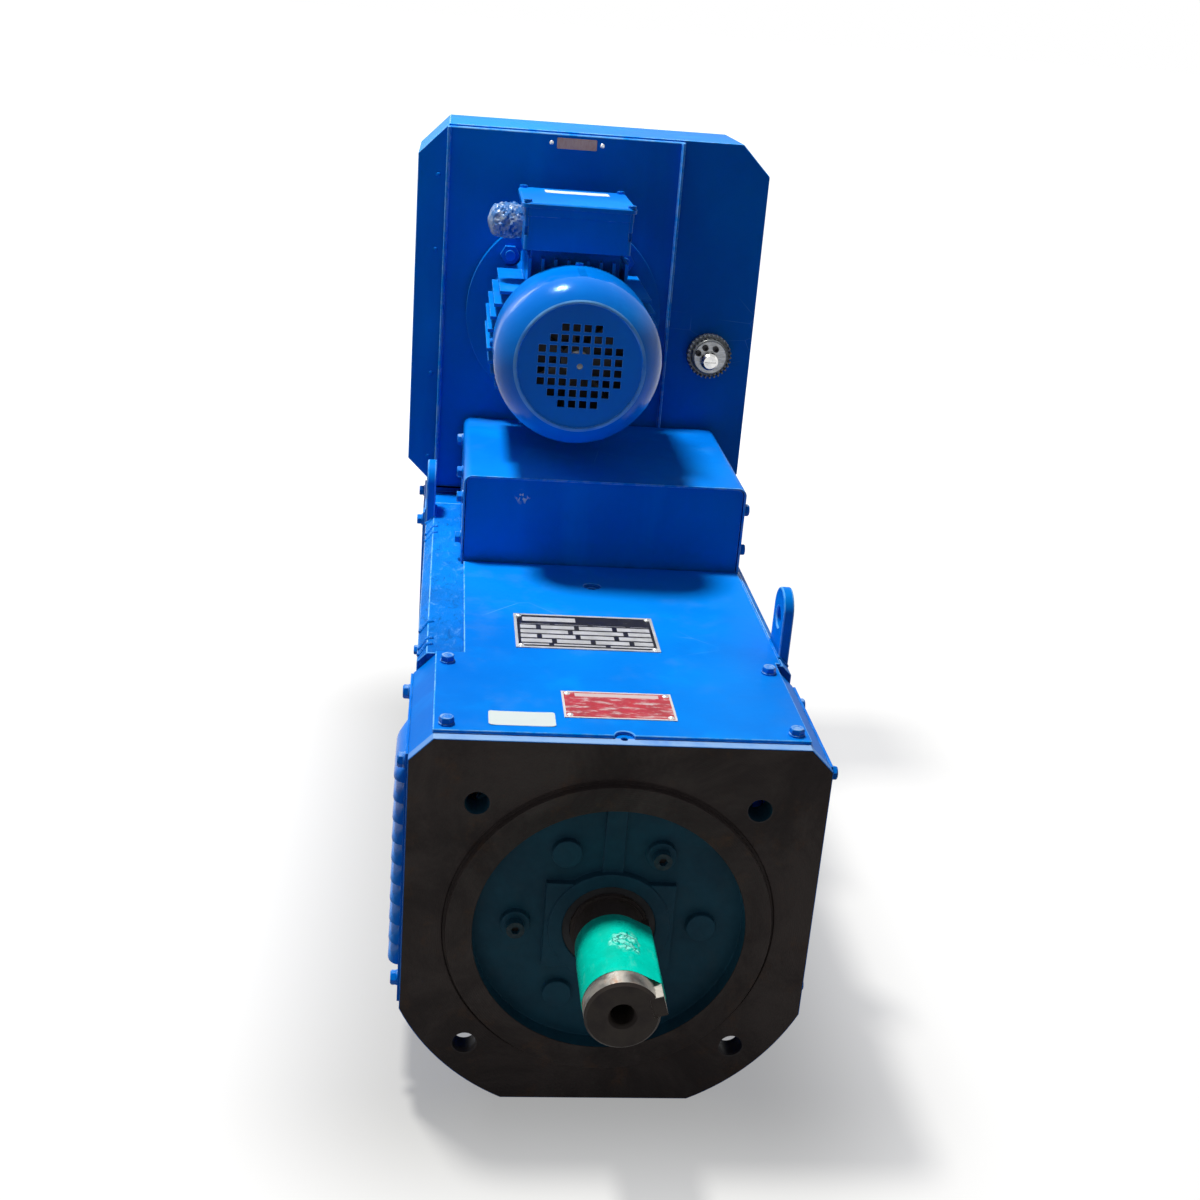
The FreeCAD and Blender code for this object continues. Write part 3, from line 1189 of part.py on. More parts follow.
def make_blower_fasteners():
    pieces = [aimed(small_screw(LID_SCREW_LEN), base, way) for base, way in BTB_SCREWS]
    pieces += [aimed(small_screw(COWL_SCREW_LEN), base, way) for base, way in COWL_SCREWS]
    pieces += [aimed(hex_screw(BASE_SCREW_LEN), base, way) for base, way in BASE_PLACES]
    for p in BM_STUDS:
        stud = rod_y(BM_STUD_R, BM_FLANGE_Y - BM_NUT_T - BM_STUD_OVER, CASE_Y[0] + BM_HEAD_T, p.x, p.z)
        nut = aimed(hexagon(BM_NUT_AF, BM_NUT_T), V(p.x, BM_FLANGE_Y, p.z), V(0, -1, 0))
        head = aimed(hexagon(BM_NUT_AF, BM_HEAD_T), V(p.x, CASE_Y[0], p.z), V(0, 1, 0))
        pieces.append(stud.fuse([nut, head]).removeSplitter())
    return pieces


def make_cable_gland():
    x = BTB_X[0]
    base = aimed(hexagon(GLAND_AF, GLAND_HEX_T), V(x, GLAND_Y, GLAND_Z), V(-1, 0, 0))
    thread = rod_x(GLAND_R, x - GLAND_HEX_T, x + 2 * BTB_WALL, GLAND_Y, GLAND_Z)
    barrel = rod_x(GLAND_BARREL_R, x - GLAND_BARREL_END, x - GLAND_HEX_T, GLAND_Y, GLAND_Z)
    dome_base = V(x - GLAND_BARREL_END, GLAND_Y, GLAND_Z)
    dome = Part.makeCone(*GLAND_DOME_R, GLAND_END - GLAND_BARREL_END, dome_base, V(-1, 0, 0))
    gland = base.fuse([thread, barrel, dome]).removeSplitter()
    return gland.cut(rod_x(GLAND_BORE_R, x - GLAND_END, x - GLAND_BORE_FROM, GLAND_Y, GLAND_Z))


def make_switch_body():
    y0 = FRONT_Y - SWITCH_DEPTH
    step = SWITCH_DEPTH / 2
    return turned_y([(0, y0), (SWITCH_NECK_R - 1, y0), (SWITCH_NECK_R, y0 + 1), (SWITCH_NECK_R, y0 + step),
                     (SWITCH_R, y0 + step), (SWITCH_R, FRONT_Y), (0, FRONT_Y)], SWITCH_X, SWITCH_Z)


def make_switch_metalwork():
    """Front plate of the switch with its three round terminals."""
    y1 = FRONT_Y - SWITCH_DEPTH
    y0 = y1 - SWITCH_PLATE_T
    inner, outer = TERMINAL_R
    pieces = [rod_y(SWITCH_PLATE_R, y0, y1, SWITCH_X, SWITCH_Z)]
    for dx, dz in SWITCH_TERMINALS:
        pieces.append(tube_y(outer, inner, y0 - TERMINAL_H, y0, SWITCH_X + dx, SWITCH_Z + dz))
    return pieces


def make_switch_knob():
    y1 = FRONT_Y - SWITCH_DEPTH - SWITCH_PLATE_T - KNOB_GAP
    y0 = y1 - KNOB_H
    x = KNOB_OFFSET[0] + SWITCH_X
    z = KNOB_OFFSET[1] + SWITCH_Z
    knob = turned_y([(0, y0), (0.7 * KNOB_R, y0), (0.92 * KNOB_R, y0 + 0.28 * KNOB_H),
                     (KNOB_R, y0 + 0.67 * KNOB_H), (KNOB_R, y1), (0, y1)], x, z)
    return knob.cut(box(x - KNOB_SLOT_HALF, x + KNOB_SLOT_HALF, y0, y0 + KNOB_SLOT_D,
                        z - KNOB_SLOT_W / 2, z + KNOB_SLOT_W / 2))


NODES = {
    "de_end_shield": make_de_end_shield,
    "stator_frame": make_stator_frame,
    "nde_end_shield": make_nde_end_shield,
    "frame_tie_bolts": make_frame_tie_bolts,
    "field_poles": make_field_poles,
    "field_coils": make_field_coils,
    "bearing_outer_rings": make_bearing_outer_rings,
    "bearing_inner_rings": make_bearing_inner_rings,
    "bearing_balls": make_bearing_balls,
    "shaft_seal": make_shaft_seal,
    "de_inner_bearing_cap": make_de_inner_bearing_cap,
    "nde_bearing_cover": make_nde_bearing_cover,
    "bearing_cap_screws": make_bearing_cap_screws,
    "top_cover": make_top_cover,
    "louvre_covers": make_louvre_covers,
    "inspection_covers": make_inspection_covers,
    "cover_screws": make_cover_screws,
    "lifting_lugs": make_lifting_lugs,
    "rating_plate": lambda: thin_plate(RATING_PLATE),
    "service_plate": lambda: thin_plate(SERVICE_PLATE),
    "plate_rivets": make_plate_rivets,
    "terminal_box_base": make_terminal_box_base,
    "terminal_box_lid": make_terminal_box_lid,
    "terminal_box_screws": make_terminal_box_screws,
    "terminal_board": make_terminal_board,
    "terminal_studs": make_terminal_studs,
    "brush_rocker": make_brush_rocker,
    "brush_holders": make_brush_holders,
    "main_shaft": make_main_shaft,
    "shaft_key": make_shaft_key,
    "armature_core": make_armature_core,
    "armature_winding": make_armature_winding,
    "commutator": make_commutator,
    "commutator_hub": make_commutator_hub,
    "blower_base_frame": make_blower_base_frame,
    "blower_casing_band": make_blower_casing_band,
    "blower_front_plate": make_blower_front_plate,
    "blower_mounting_panel": make_blower_mounting_panel,
    "blower_back_plate": make_blower_back_plate,
    "blower_scroll": make_blower_scroll,
    "impeller": make_impeller,
    "air_inlet_guard": make_air_inlet_guard,
    "blower_motor_housing": make_blower_motor_housing,
    "blower_motor_flange": make_blower_motor_flange,
    "blower_rear_shield": make_blower_rear_shield,
    "blower_stator": make_blower_stator,
    "blower_rotor": make_blower_rotor,
    "cooling_fan": make_cooling_fan,
    "fan_cowl": make_fan_cowl,
    "blower_terminal_box": make_blower_terminal_box,
    "blower_terminal_lid": make_blower_terminal_lid,
    "blower_fasteners": make_blower_fasteners,
    "cable_gland": make_cable_gland,
    "switch_body": make_switch_body,
    "switch_metalwork": make_switch_metalwork,
    "switch_knob": make_switch_knob,
}


def main():
    os.makedirs("parts", exist_ok=True)
    for index in range(4):
        NODES["brush_%d" % (index + 1)] = lambda index=index: make_brush(index)
    for name, make in NODES.items():
        made = make()
        shape = Part.makeCompound(made) if isinstance(made, list) else made
        shape.exportStep("parts/%s.step" % name)
        print(name, len(shape.Solids), round(shape.Volume / 1000.0, 1), shape.isValid())


main()
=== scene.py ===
import json
import math

import bmesh
import bpy
import numpy as np
from mathutils import Matrix, Vector, noise


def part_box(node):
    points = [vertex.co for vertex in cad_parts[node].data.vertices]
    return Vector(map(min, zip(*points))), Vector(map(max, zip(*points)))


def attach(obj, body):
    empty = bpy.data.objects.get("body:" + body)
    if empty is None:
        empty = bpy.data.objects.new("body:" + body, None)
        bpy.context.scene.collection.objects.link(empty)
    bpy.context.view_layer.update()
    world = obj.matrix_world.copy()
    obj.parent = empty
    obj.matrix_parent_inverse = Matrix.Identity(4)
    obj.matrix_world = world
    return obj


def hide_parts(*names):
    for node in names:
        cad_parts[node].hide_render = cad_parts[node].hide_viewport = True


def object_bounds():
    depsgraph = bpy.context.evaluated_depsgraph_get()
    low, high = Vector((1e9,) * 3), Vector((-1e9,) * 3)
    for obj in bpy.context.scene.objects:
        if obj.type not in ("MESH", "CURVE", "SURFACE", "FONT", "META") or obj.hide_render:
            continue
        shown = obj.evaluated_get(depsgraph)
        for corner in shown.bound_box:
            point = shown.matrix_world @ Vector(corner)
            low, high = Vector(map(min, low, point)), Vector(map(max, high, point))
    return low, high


# Square-frame DC motor with its blower: finishes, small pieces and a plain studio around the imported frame.
# Metres, with X to the right, Y from the flange face to the rear and Z up.

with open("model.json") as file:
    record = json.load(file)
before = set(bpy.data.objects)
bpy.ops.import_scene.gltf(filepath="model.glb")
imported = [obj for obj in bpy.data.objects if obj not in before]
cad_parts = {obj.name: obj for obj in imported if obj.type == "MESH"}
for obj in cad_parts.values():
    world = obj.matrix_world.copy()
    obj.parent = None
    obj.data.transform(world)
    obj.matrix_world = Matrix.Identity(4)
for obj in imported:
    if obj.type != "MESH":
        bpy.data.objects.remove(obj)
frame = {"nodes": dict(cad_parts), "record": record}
cad_low, cad_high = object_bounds()
NODES = frame["nodes"]
SLOTS = {row["node"]: row["material_slot"] for row in frame["record"]["subparts"]}
SCENE = bpy.context.scene
MM = 0.001
FULL_TURN = 2 * math.pi
X_WAY = Vector((1, 0, 0))
Y_WAY = Vector((0, 1, 0))
Z_WAY = Vector((0, 0, 1))


def mm(*values):
    """Lengths given in millimetres."""
    return tuple(value * MM for value in values)


# Camera, fitted to the flange
CAMERA_PLACE = Vector((-0.1426, -1.0221, 0.6614))
CAMERA_YAW = math.radians(6.42)
CAMERA_PITCH = math.radians(20.82)
CAMERA_ROLL = math.radians(4.67)
CAMERA_LENS = 46.89
CAMERA_SENSOR = 36.0
CAMERA_SIGHT = 200.0

# Lamps: place, width, power in watts and colour, all aimed at one spot in the motor
LAMP_AIM = Vector((0.0, 0.30, 0.10))
LAMPS = (
    ("overhead softbox", (-0.60, 0.64, 2.38), 0.30, 72.0, (1.0, 0.98, 0.92)),
    ("front fill", (-1.20, -2.30, 1.10), 2.0, 3.3, (1, 1, 1)),
    ("right fill", (2.20, 0.60, 1.00), 1.6, 3.0, (1, 1, 1)),
    ("rear fill", (-1.60, 2.30, 1.50), 1.2, 16.0, (1, 1, 1)),
)

# Sky and floor; the floor glows with the distance from a block under the motor, in two steps that give the
# nearest and farthest distance and the glow at each; the low glow near the block is a painted contact shadow
SKY = (0.76, 0.82, 1.0, 1)
SKY_STRENGTH = 0.12
WHITE = (1, 1, 1, 1)
FLOOR_GREY = (0.27, 0.27, 0.27, 1)
FLOOR_HALF = 60.0
SHADE_HALF_X = 0.12
SHADE_HALF_Y = 0.34
SHADE_MIDDLE_Y = 0.36
GLOW_NEAR = (0.0, 0.24, 0.34, 0.76)
GLOW_FAR = (0.4, 1.6, 0.0, 0.40)

# Drive end: spigot recess, relief groove, bolt holes and their pockets darkened as painted shade, lip paled
# by dust and painted highlight, and cap screws
RECESS_R = 105.2 * MM
RECESS_FLOOR_Y = 11.5 * MM
GROOVE_R = 130.0 * MM
GROOVE_FLOOR_Y = 1.7 * MM
FACE_Y = 0.15 * MM
BOLT_HOLE_AT = 106.07 * MM
BOLT_HOLE_R = 10.4 * MM
FLANGE_BACK_Y = 21.0 * MM
LIP_Y = 9.0 * MM
LIP_FADE = 1.0 * MM
POCKET_R = 40.0 * MM
POCKET_END_Y = 75.0 * MM
SCREW_FACE_Y = -3.5 * MM
REAR_SCREWS_Y = 400.0 * MM
# Radius of the shaft's tapped hole, dark inside as painted shade
SHAFT_THREAD_R = 12.5 * MM
SHAFT_BRIGHT_Y = mm(-34.0, -24.0)
SHAFT_RUST_X = mm(12.0, -22.0)

# Hex screws of the covers
HEX_ACROSS = 10.0 * MM
HEX_HEAD = 4.5 * MM
HEX_FOOT = 0.2 * MM
HEX_CROWN_R = 4.8 * MM
HEX_CROWN = 0.45 * MM
HEX_DIMPLE = 0.25 * MM
HEX_WASHER_R = 6.2 * MM
HEX_WASHER_T = 1.4 * MM
HEX_WASHER_EDGE = 0.3 * MM
HEX_SHANK_R = 2.9 * MM
HEX_SHANK = 13.5 * MM

# Louvred side covers
LOUVRE_FACE = 160.0 * MM
LOUVRE_SHEET = 2.0 * MM
LOUVRE_MIDDLE = 82.5 * MM
LOUVRE_HALF = 42.5 * MM
LOUVRE_TOP = 107.0 * MM
LOUVRE_PITCH = 18.0 * MM
LOUVRES = 10
LOUVRE_OUT = 9.0 * MM
LOUVRE_RISE = 8.0 * MM
LOUVRE_DROP = 7.0 * MM
LOUVRE_SKIN = 1.4 * MM
LOUVRE_END = 13.0 * MM
SLOT_INSET = 32.0 * MM
SLOT_BELOW = 7.0 * MM
SLOT_ABOVE = 5.0 * MM

# Tape on the shaft end, with one crumpled patch
TAPE_START = -22.0 * MM
TAPE_STOP = -94.0 * MM
TAPE_ROUND = 168
TAPE_ALONG = 66
TAPE_SHAFT_R = 27.6 * MM
TAPE_KEY_R = 31.6 * MM
TAPE_KEY_HALF = 8.0 * MM
TAPE_LEAD = 38.0 * MM
TAPE_UNDER = 0.05 * MM
TAPE_OVER = 0.12 * MM
TAPE_THICK = 0.30 * MM
TAPE_WAVES = mm(0.16, 0.10)
TAPE_LAP = 0.22 * MM
TAPE_PATCH = math.radians(76)
TAPE_PATCH_WIDE = 0.40
TAPE_PATCH_Y = -58.0 * MM
TAPE_PATCH_LONG = 13.0 * MM
TAPE_CRUMPLE = 2.2 * MM

# Film tied over the cable gland: lengths against the gland's ends, and radii
FILM_SHORT = 3.5 * MM
FILM_BEYOND = 2.5 * MM
FILM_ROUND = 72
FILM_ALONG = 30
FILM_INSIDE_R = 12.45 * MM
FILM_R = 12.9 * MM
FILM_BELLY = 2.6 * MM
FILM_FOLDS = mm(3.4, 1.9)
FILM_CLOSES = 0.86
FILM_TIP_SKIN = 0.25 * MM

# Knurled switch on the blower's front plate
SWITCH_X = 132.5 * MM
SWITCH_Z = 325.0 * MM
SWITCH_R = 22.5 * MM
SWITCH_TERMINALS = (mm(-6.0, 9.8), mm(5.1, 9.0), mm(-12.9, 3.9))
SWITCH_TERMINAL_R = 3.2 * MM
SWITCH_RIBS = 30
RIB_MIDDLE_Y = 589.0 * MM
RIB_SUNK = 0.5 * MM
RIB_PROFILE = (mm(1.0, -7.0), mm(1.25, -6.0), mm(1.25, 6.0), mm(1.0, 7.0))

# Blower: its axis, the face of the mounting panel, and the inlet guard's rim with the rings in front of it
BLOWER_X = -24.0 * MM
BLOWER_Z = 360.0 * MM
PANEL_Y = 594.0 * MM
GUARD_RIM_R = 97.0 * MM
GUARD_RINGS_OUT = 1.0 * MM

# Rivets: the head, the small plate's pair, the casing's front edge, and the sides and rows of its back
RIVET_R = 2.4 * MM
RIVET_HEAD = 1.3 * MM
RIVET_ROOT = 0.6 * MM
RIVET_DOME = ((1.0, 0.0), (0.97, 0.30), (0.80, 0.72), (0.45, 0.95), (0.12, 1.0))
PLATE_RIVETS_X = mm(-46.5, 4.5)
PLATE_RIVETS_Z = 528.8 * MM
EDGE_RIVETS_X = -157.5 * MM
EDGE_RIVETS_Z = mm(198, 288, 416, 490)
BACK_SIDES_X = mm(-170, 170)
BACK_SIDES_Z = mm(215, 285, 355, 425, 495)
BACK_ROWS_X = mm(-120, -60, 0, 60, 120)
BACK_ROWS_Z = mm(173, 532)

# Paper and small plate: glue, ripple and cells of a leaf
GLUE = 0.03 * MM
LEAF_RIPPLE = 0.04 * MM
LEAF_CELLS_ACROSS = 28
LEAF_CELLS_ALONG = 12

# Weld beads: round the lugs' feet, given as side and Y, and short ones on the frame's left corner
BEAD_STEP = 1.5 * MM
BEAD_R = 2.3 * MM
LUGS = ((1, 193.0 * MM), (-1, 530.0 * MM))
LUG_HALF = 19.5 * MM
LUG_INNER = 147.0 * MM
LUG_OUTER = 155.0 * MM
LUG_FALL = 7.0 * MM
CORNER_BEADS_Y = mm(169, 182, 219, 457, 476)
CORNER_BEAD = (mm(-144.5, 7.0, 0.0), mm(-148.0, 5.0, 0.0), mm(-154.5, -3.0, -6.5))

# Castings and sheet pieces shown with rounded edges, and the radius in millimetres
ROUNDED = (
    ("de_end_shield", 0.7), ("nde_end_shield", 0.8), ("stator_frame", 0.8), ("nde_bearing_cover", 0.8),
    ("terminal_box_lid", 0.8), ("terminal_box_base", 0.6), ("top_cover", 0.9), ("lifting_lugs", 1.4),
    ("blower_front_plate", 0.9), ("blower_mounting_panel", 1.3), ("blower_casing_band", 0.6),
    ("blower_back_plate", 0.7), ("inspection_covers", 0.6), ("blower_base_frame", 0.6),
    ("fan_cowl", 0.4), ("blower_motor_flange", 0.6), ("air_inlet_guard", 0.4), ("switch_body", 0.5),
)
SHARP = math.radians(38)
FLAT = math.radians(0.5)
JOIN_WITHIN = 0.002 * MM

# Rounded nodes whose edges keep their paint, with no pale line of wear and painted highlight
UNRUBBED = ("blower_motor_flange",)

# Nodes with a finish of their own instead of their slot's
OWN_FINISH = {
    "stator_frame": "laminated_enamel",
    "bearing_cap_screws": "cap_screws",
    "switch_metalwork": "switch_plate",
    "blower_rear_shield": "blue_enamel",
    "fan_cowl": "glossy_enamel",
}

# Finishes of the drive-end shield's zones
SHIELD_ZONES = ("shield_casting", "flange_iron", "recess_paint", "bore_shade")

# Enamel: the plane behind the cowl's rim, whose pale ring is a painted highlight, and a scratched spot on
# the terminal box with its radii
COWL_RIM_Y = 341.2 * MM
SCUFF = mm(-65.6, 375.0, 225.6)
SCUFF_R = mm(9.0, 4.0)
EDGE_EASE = 1.0 * MM
CORNER_REACH = 22.0 * MM

# Pitch of the lines in laminated, turned, stacked and wound finishes
FRAME_SHEET = 2.6 * MM
FLANGE_FEED = 1.7 * MM
SHAFT_FEED = 0.9 * MM
BEARING_FEED = 0.5 * MM
CORE_SHEET = 1.0 * MM
COPPER_TURN = 2.4 * MM

# Paint and metal colours, linear
BLUE = (0.000, 0.215, 0.790, 1)
BLUE_DEEP = (0.000, 0.145, 0.640, 1)
BLUE_PALE = (0.000, 0.300, 0.920, 1)
# Pale of worn paint, also the painted highlight of edges and of the cowl's rim
BLUE_WORN_AND_HIGHLIGHT = (0.160, 0.440, 0.880, 1)
DUST = (0.170, 0.290, 0.440, 1)
# Pale of dust and painted highlight on the flange's lip, and painted glints on screw heads
PALE_DUST_AND_GLINT = (0.250, 0.420, 0.700, 1)
# Dark of dirt, and of painted shade in corners
GRIME_AND_SHADE = (0.003, 0.012, 0.050, 1)
RECESS_BLUE = (0.018, 0.084, 0.130, 1)
RECESS_DEEP = (0.012, 0.048, 0.078, 1)
IRON = (0.069, 0.055, 0.050, 1)
IRON_DARK = (0.030, 0.024, 0.023, 1)
RUST = (0.115, 0.060, 0.032, 1)
STEEL = (0.420, 0.390, 0.350, 1)
STEEL_DARK = (0.120, 0.100, 0.085, 1)
STEEL_BROWN = (0.036, 0.028, 0.022, 1)
ORANGE_RUST = (0.330, 0.120, 0.035, 1)
BRIGHT_STEEL = (0.620, 0.610, 0.590, 1)
TAPE_GREEN = (0.000, 0.780, 0.610, 1)
TAPE_DARK = (0.000, 0.560, 0.420, 1)
# Pale of stretched tape, also painted glints on the crumpled patch
TAPE_PALE_AND_GLINT = (0.330, 0.950, 0.840, 1)
# Painted shade in the tape's creases
TAPE_CREASE_SHADE = (0.000, 0.160, 0.130, 1)
PLATE_BLACK = (0.012, 0.012, 0.014, 1)
PLATE_SILVER = (0.680, 0.690, 0.700, 1)
PLATE_RED = (0.480, 0.040, 0.055, 1)
PAPER = (0.560, 0.630, 0.640, 1)


def put(tree, socket, value):
    """Link a socket to another one, or set it to a plain value."""
    if isinstance(value, bpy.types.NodeSocket):
        tree.links.new(value, socket)
    else:
        socket.default_value = value


def new_node(tree, kind, inputs=None, **settings):
    """Node of a tree with its settings made and its inputs linked or set."""
    made = tree.nodes.new(kind)
    for key, value in settings.items():
        setattr(made, key, value)
    for key, value in (inputs or {}).items():
        put(tree, made.inputs[key], value)
    return made


class Finish:
    """A material being put together; each method adds nodes and hands back their output."""

    def __init__(self, name, **sockets):
        self.material = bpy.data.materials.new(name)
        self.material.use_nodes = True
        self.tree = self.material.node_tree
        self.shader = self.tree.nodes["Principled BSDF"]
        for key, value in sockets.items():
            self.shader.inputs[key.replace("_", " ")].default_value = value

    def node(self, kind, inputs=None, **settings):
        return new_node(self.tree, "ShaderNode" + kind, inputs, **settings)

    def place(self, stretch=(1, 1, 1), shift=(0, 0, 0)):
        where = self.node("TexCoord").outputs["Object"]
        return self.node("Mapping", {"Vector": where, "Scale": stretch, "Location": shift}).outputs[0]

    def axis(self, index, stretch=(1, 1, 1), shift=(0, 0, 0)):
        return self.node("SeparateXYZ", {0: self.place(stretch, shift)}).outputs[index]

    def distance(self, place):
        return self.node("VectorMath", {0: self.place(), 1: place}, operation="DISTANCE").outputs["Value"]

    def from_axis(self, x=0.0, z=0.0):
        """Distance from a line along Y."""
        flat = self.place((1, 0, 1), (-x, 0, -z))
        return self.node("VectorMath", {0: flat}, operation="LENGTH").outputs["Value"]

    def facing(self, index):
        """Share of the surface that faces along an axis."""
        return self.node("SeparateXYZ", {0: self.node("NewGeometry").outputs["Normal"]}).outputs[index]

    def noise(self, scale, detail=3.0, rough=0.5, stretch=(1, 1, 1), twist=0.0):
        return self.node("TexNoise", {"Vector": self.place(stretch), "Scale": scale, "Detail": detail,
                                      "Roughness": rough, "Distortion": twist}).outputs["Fac"]

    def cells(self, scale, feature="F1", stretch=(1, 1, 1)):
        return self.node("TexVoronoi", {"Vector": self.place(stretch), "Scale": scale},
                         feature=feature).outputs["Distance"]

    def calc(self, operation, *values):
        return self.node("Math", dict(enumerate(values)), operation=operation).outputs[0]

    def times(self, first, *others):
        for other in others:
            first = self.calc("MULTIPLY", first, other)
        return first

    def plus(self, first, second):
        return self.calc("ADD", first, second)

    def rest(self, share):
        """What the share leaves of one."""
        return self.calc("SUBTRACT", 1.0, share)

    def waves(self, length, pitch):
        return self.calc("SINE", self.times(length, FULL_TURN / pitch))

    def ramp(self, value, low, high, start=0.0, end=1.0):
        return self.node("MapRange", {"Value": value, "From Min": low, "From Max": high, "To Min": start,
                                      "To Max": end}, interpolation_type="SMOOTHSTEP").outputs[0]

    def between(self, share, start, end):
        return self.ramp(share, 0.0, 1.0, start, end)

    def cloud(self, low, high, *grain, **more_grain):
        """Noise drawn apart between two levels."""
        return self.ramp(self.noise(*grain, **more_grain), low, high)

    def blend(self, share, first, second, most=1.0):
        """From the first colour to the second, as far as the share and at most so much of it."""
        if most < 1.0:
            share = self.times(share, most)
        return self.node("Mix", {0: share, 6: first, 7: second}, data_type="RGBA").outputs[2]

    def eased_normal(self, radius):
        return self.node("Bevel", {"Radius": radius}, samples=4).outputs[0]

    def edge(self, eased):
        """Zero on flat ground and rising towards a sharp edge."""
        plain = self.node("NewGeometry").outputs["Normal"]
        along = self.node("VectorMath", {0: plain, 1: eased}, operation="DOT_PRODUCT").outputs["Value"]
        return self.rest(along)

    def corner(self, reach):
        """Share of shelter close to other surfaces."""
        return self.rest(self.node("AmbientOcclusion", {"Distance": reach}, samples=4).outputs["AO"])

    def relief(self, height, depth, normal=None):
        inputs = {"Height": height, "Distance": depth}
        if normal is not None:
            inputs["Normal"] = normal
        return self.node("Bump", inputs).outputs[0]

    def finish(self, colour, roughness, normal, metal=None):
        sockets = {"Base Color": colour, "Roughness": roughness, "Normal": normal}
        if metal is not None:
            sockets["Metallic"] = metal
        for key, value in sockets.items():
            put(self.tree, self.shader.inputs[key], value)
        return self.material


def enamel_layers(f, dull=0.30):
    """Sprayed enamel's colour, roughness and normal: dusty on top, dirty and darkened as painted shade in
    corners, edges pale with wear and a painted highlight.
    """
    mottle = f.noise(5.0, 5.0)
    colour = f.blend(f.ramp(mottle, 0.30, 0.70), BLUE_DEEP, BLUE)
    runs = f.cloud(0.52, 0.80, 9.0, 4.0, stretch=(3.0, 3.0, 0.4))
    colour = f.blend(runs, colour, BLUE_PALE, 0.30)
    dust = f.times(f.ramp(f.facing(2), 0.55, 0.95), f.cloud(0.50, 0.84, 26.0, 7.0, 0.65))
    colour = f.blend(dust, colour, DUST, 0.12)
    # Painted shade, mixed with dirt: darker in patches where ambient occlusion finds surfaces close by.
    grime_and_shade = f.times(f.ramp(f.corner(CORNER_REACH), 0.25, 0.95), f.cloud(0.25, 0.75, 60.0, 5.0, 0.6))
    colour = f.blend(grime_and_shade, colour, GRIME_AND_SHADE, 0.65)
    eased = f.eased_normal(EDGE_EASE)
    # Pale edges: partly wear, partly a painted highlight along the sharp edges.
    worn = f.times(f.ramp(f.edge(eased), 0.01, 0.16), f.cloud(0.40, 0.60, 70.0, 5.0, 0.7))
    colour = f.blend(worn, colour, BLUE_WORN_AND_HIGHLIGHT, 0.80)
    hairlines = f.calc("LESS_THAN", f.cells(16.0, "DISTANCE_TO_EDGE", (1.0, 1.0, 2.2)), 0.006)
    scratches = f.times(hairlines, f.cloud(0.62, 0.70, 7.0, 2.0))
    colour = f.blend(scratches, colour, BLUE_WORN_AND_HIGHLIGHT, 0.30)
    chips = f.cloud(0.55, 0.60, 190.0, 2.0, 0.6, (1, 1, 0.5), 1.5)
    colour = f.blend(f.times(f.ramp(f.distance(SCUFF), *SCUFF_R), chips), colour, PLATE_SILVER)
    film = f.plus(f.times(dust, 0.12), f.ramp(f.facing(2), 0.30, 0.85, 0.0, dull))
    roughness = f.plus(f.ramp(mottle, 0.2, 0.8, 0.15, 0.26), film)
    peel = f.plus(f.noise(260.0, 2.0), f.times(f.noise(34.0, 3.0), 4.0))
    return colour, roughness, f.relief(peel, 0.08 * MM, eased)


def enamel_base(name, shine=0.08):
    return Finish(name, Specular_IOR_Level=shine, Specular_Tint=(0.20, 0.50, 1.0, 1))


def blue_enamel(name):
    f = enamel_base(name)
    return f.finish(*enamel_layers(f))


def glossy_enamel(name):
    """Clean enamel of the fan cowl, which keeps its shine, with a pale ring along its rim that is a painted
    highlight.
    """
    f = enamel_base(name, 0.26)
    colour, roughness, normal = enamel_layers(f, 0.0)
    # Painted highlight: the rim in front of this plane is pale, broken up by noise.
    rim = f.calc("LESS_THAN", f.axis(1), COWL_RIM_Y)
    rubbed = f.times(rim, f.ramp(f.noise(30.0), 0.3, 0.6, 0.4, 1.0))
    return f.finish(f.blend(rubbed, colour, BLUE_WORN_AND_HIGHLIGHT), roughness, normal)


def laminated_enamel(name):
    """Enamel over a stack of punched sheets, whose edges show as fine lines across the frame."""
    f = enamel_base(name)
    colour, roughness, normal = enamel_layers(f)
    wobble = f.times(f.noise(40.0, 3.0, stretch=(1, 0.2, 1)), 1.2 * MM)
    lines = f.waves(f.plus(f.axis(1), wobble), FRAME_SHEET)
    groove = f.times(f.ramp(lines, -0.2, -1.0), f.cloud(0.42, 0.62, 14.0, 6.0, 0.65))
    colour = f.blend(groove, colour, GRIME_AND_SHADE, 0.55)
    spots = f.noise(120.0, 7.0, 0.75, (1.0, 0.45, 1.0), 0.8)
    colour = f.blend(f.ramp(spots, 0.54, 0.68), colour, BLUE_WORN_AND_HIGHLIGHT, 0.35)
    colour = f.blend(f.ramp(spots, 0.46, 0.34), colour, GRIME_AND_SHADE, 0.35)
    height = f.plus(f.times(lines, 0.30), f.times(spots, 2.2))
    return f.finish(colour, f.plus(roughness, 0.10), f.relief(height, 0.45 * MM, normal))


def worn_and_highlit_edge(name):
    """Pale line on a rounded edge: enamel thinned by rubbing, and a painted highlight."""
    f = enamel_base(name)
    rub_and_glint = f.cloud(0.36, 0.62, 48.0, 6.0, 0.7)
    colour = f.blend(rub_and_glint, BLUE_PALE, BLUE_WORN_AND_HIGHLIGHT)
    return f.finish(colour, f.between(rub_and_glint, 0.20, 0.36), f.relief(f.noise(320.0, 4.0, 0.6), 0.06 * MM))


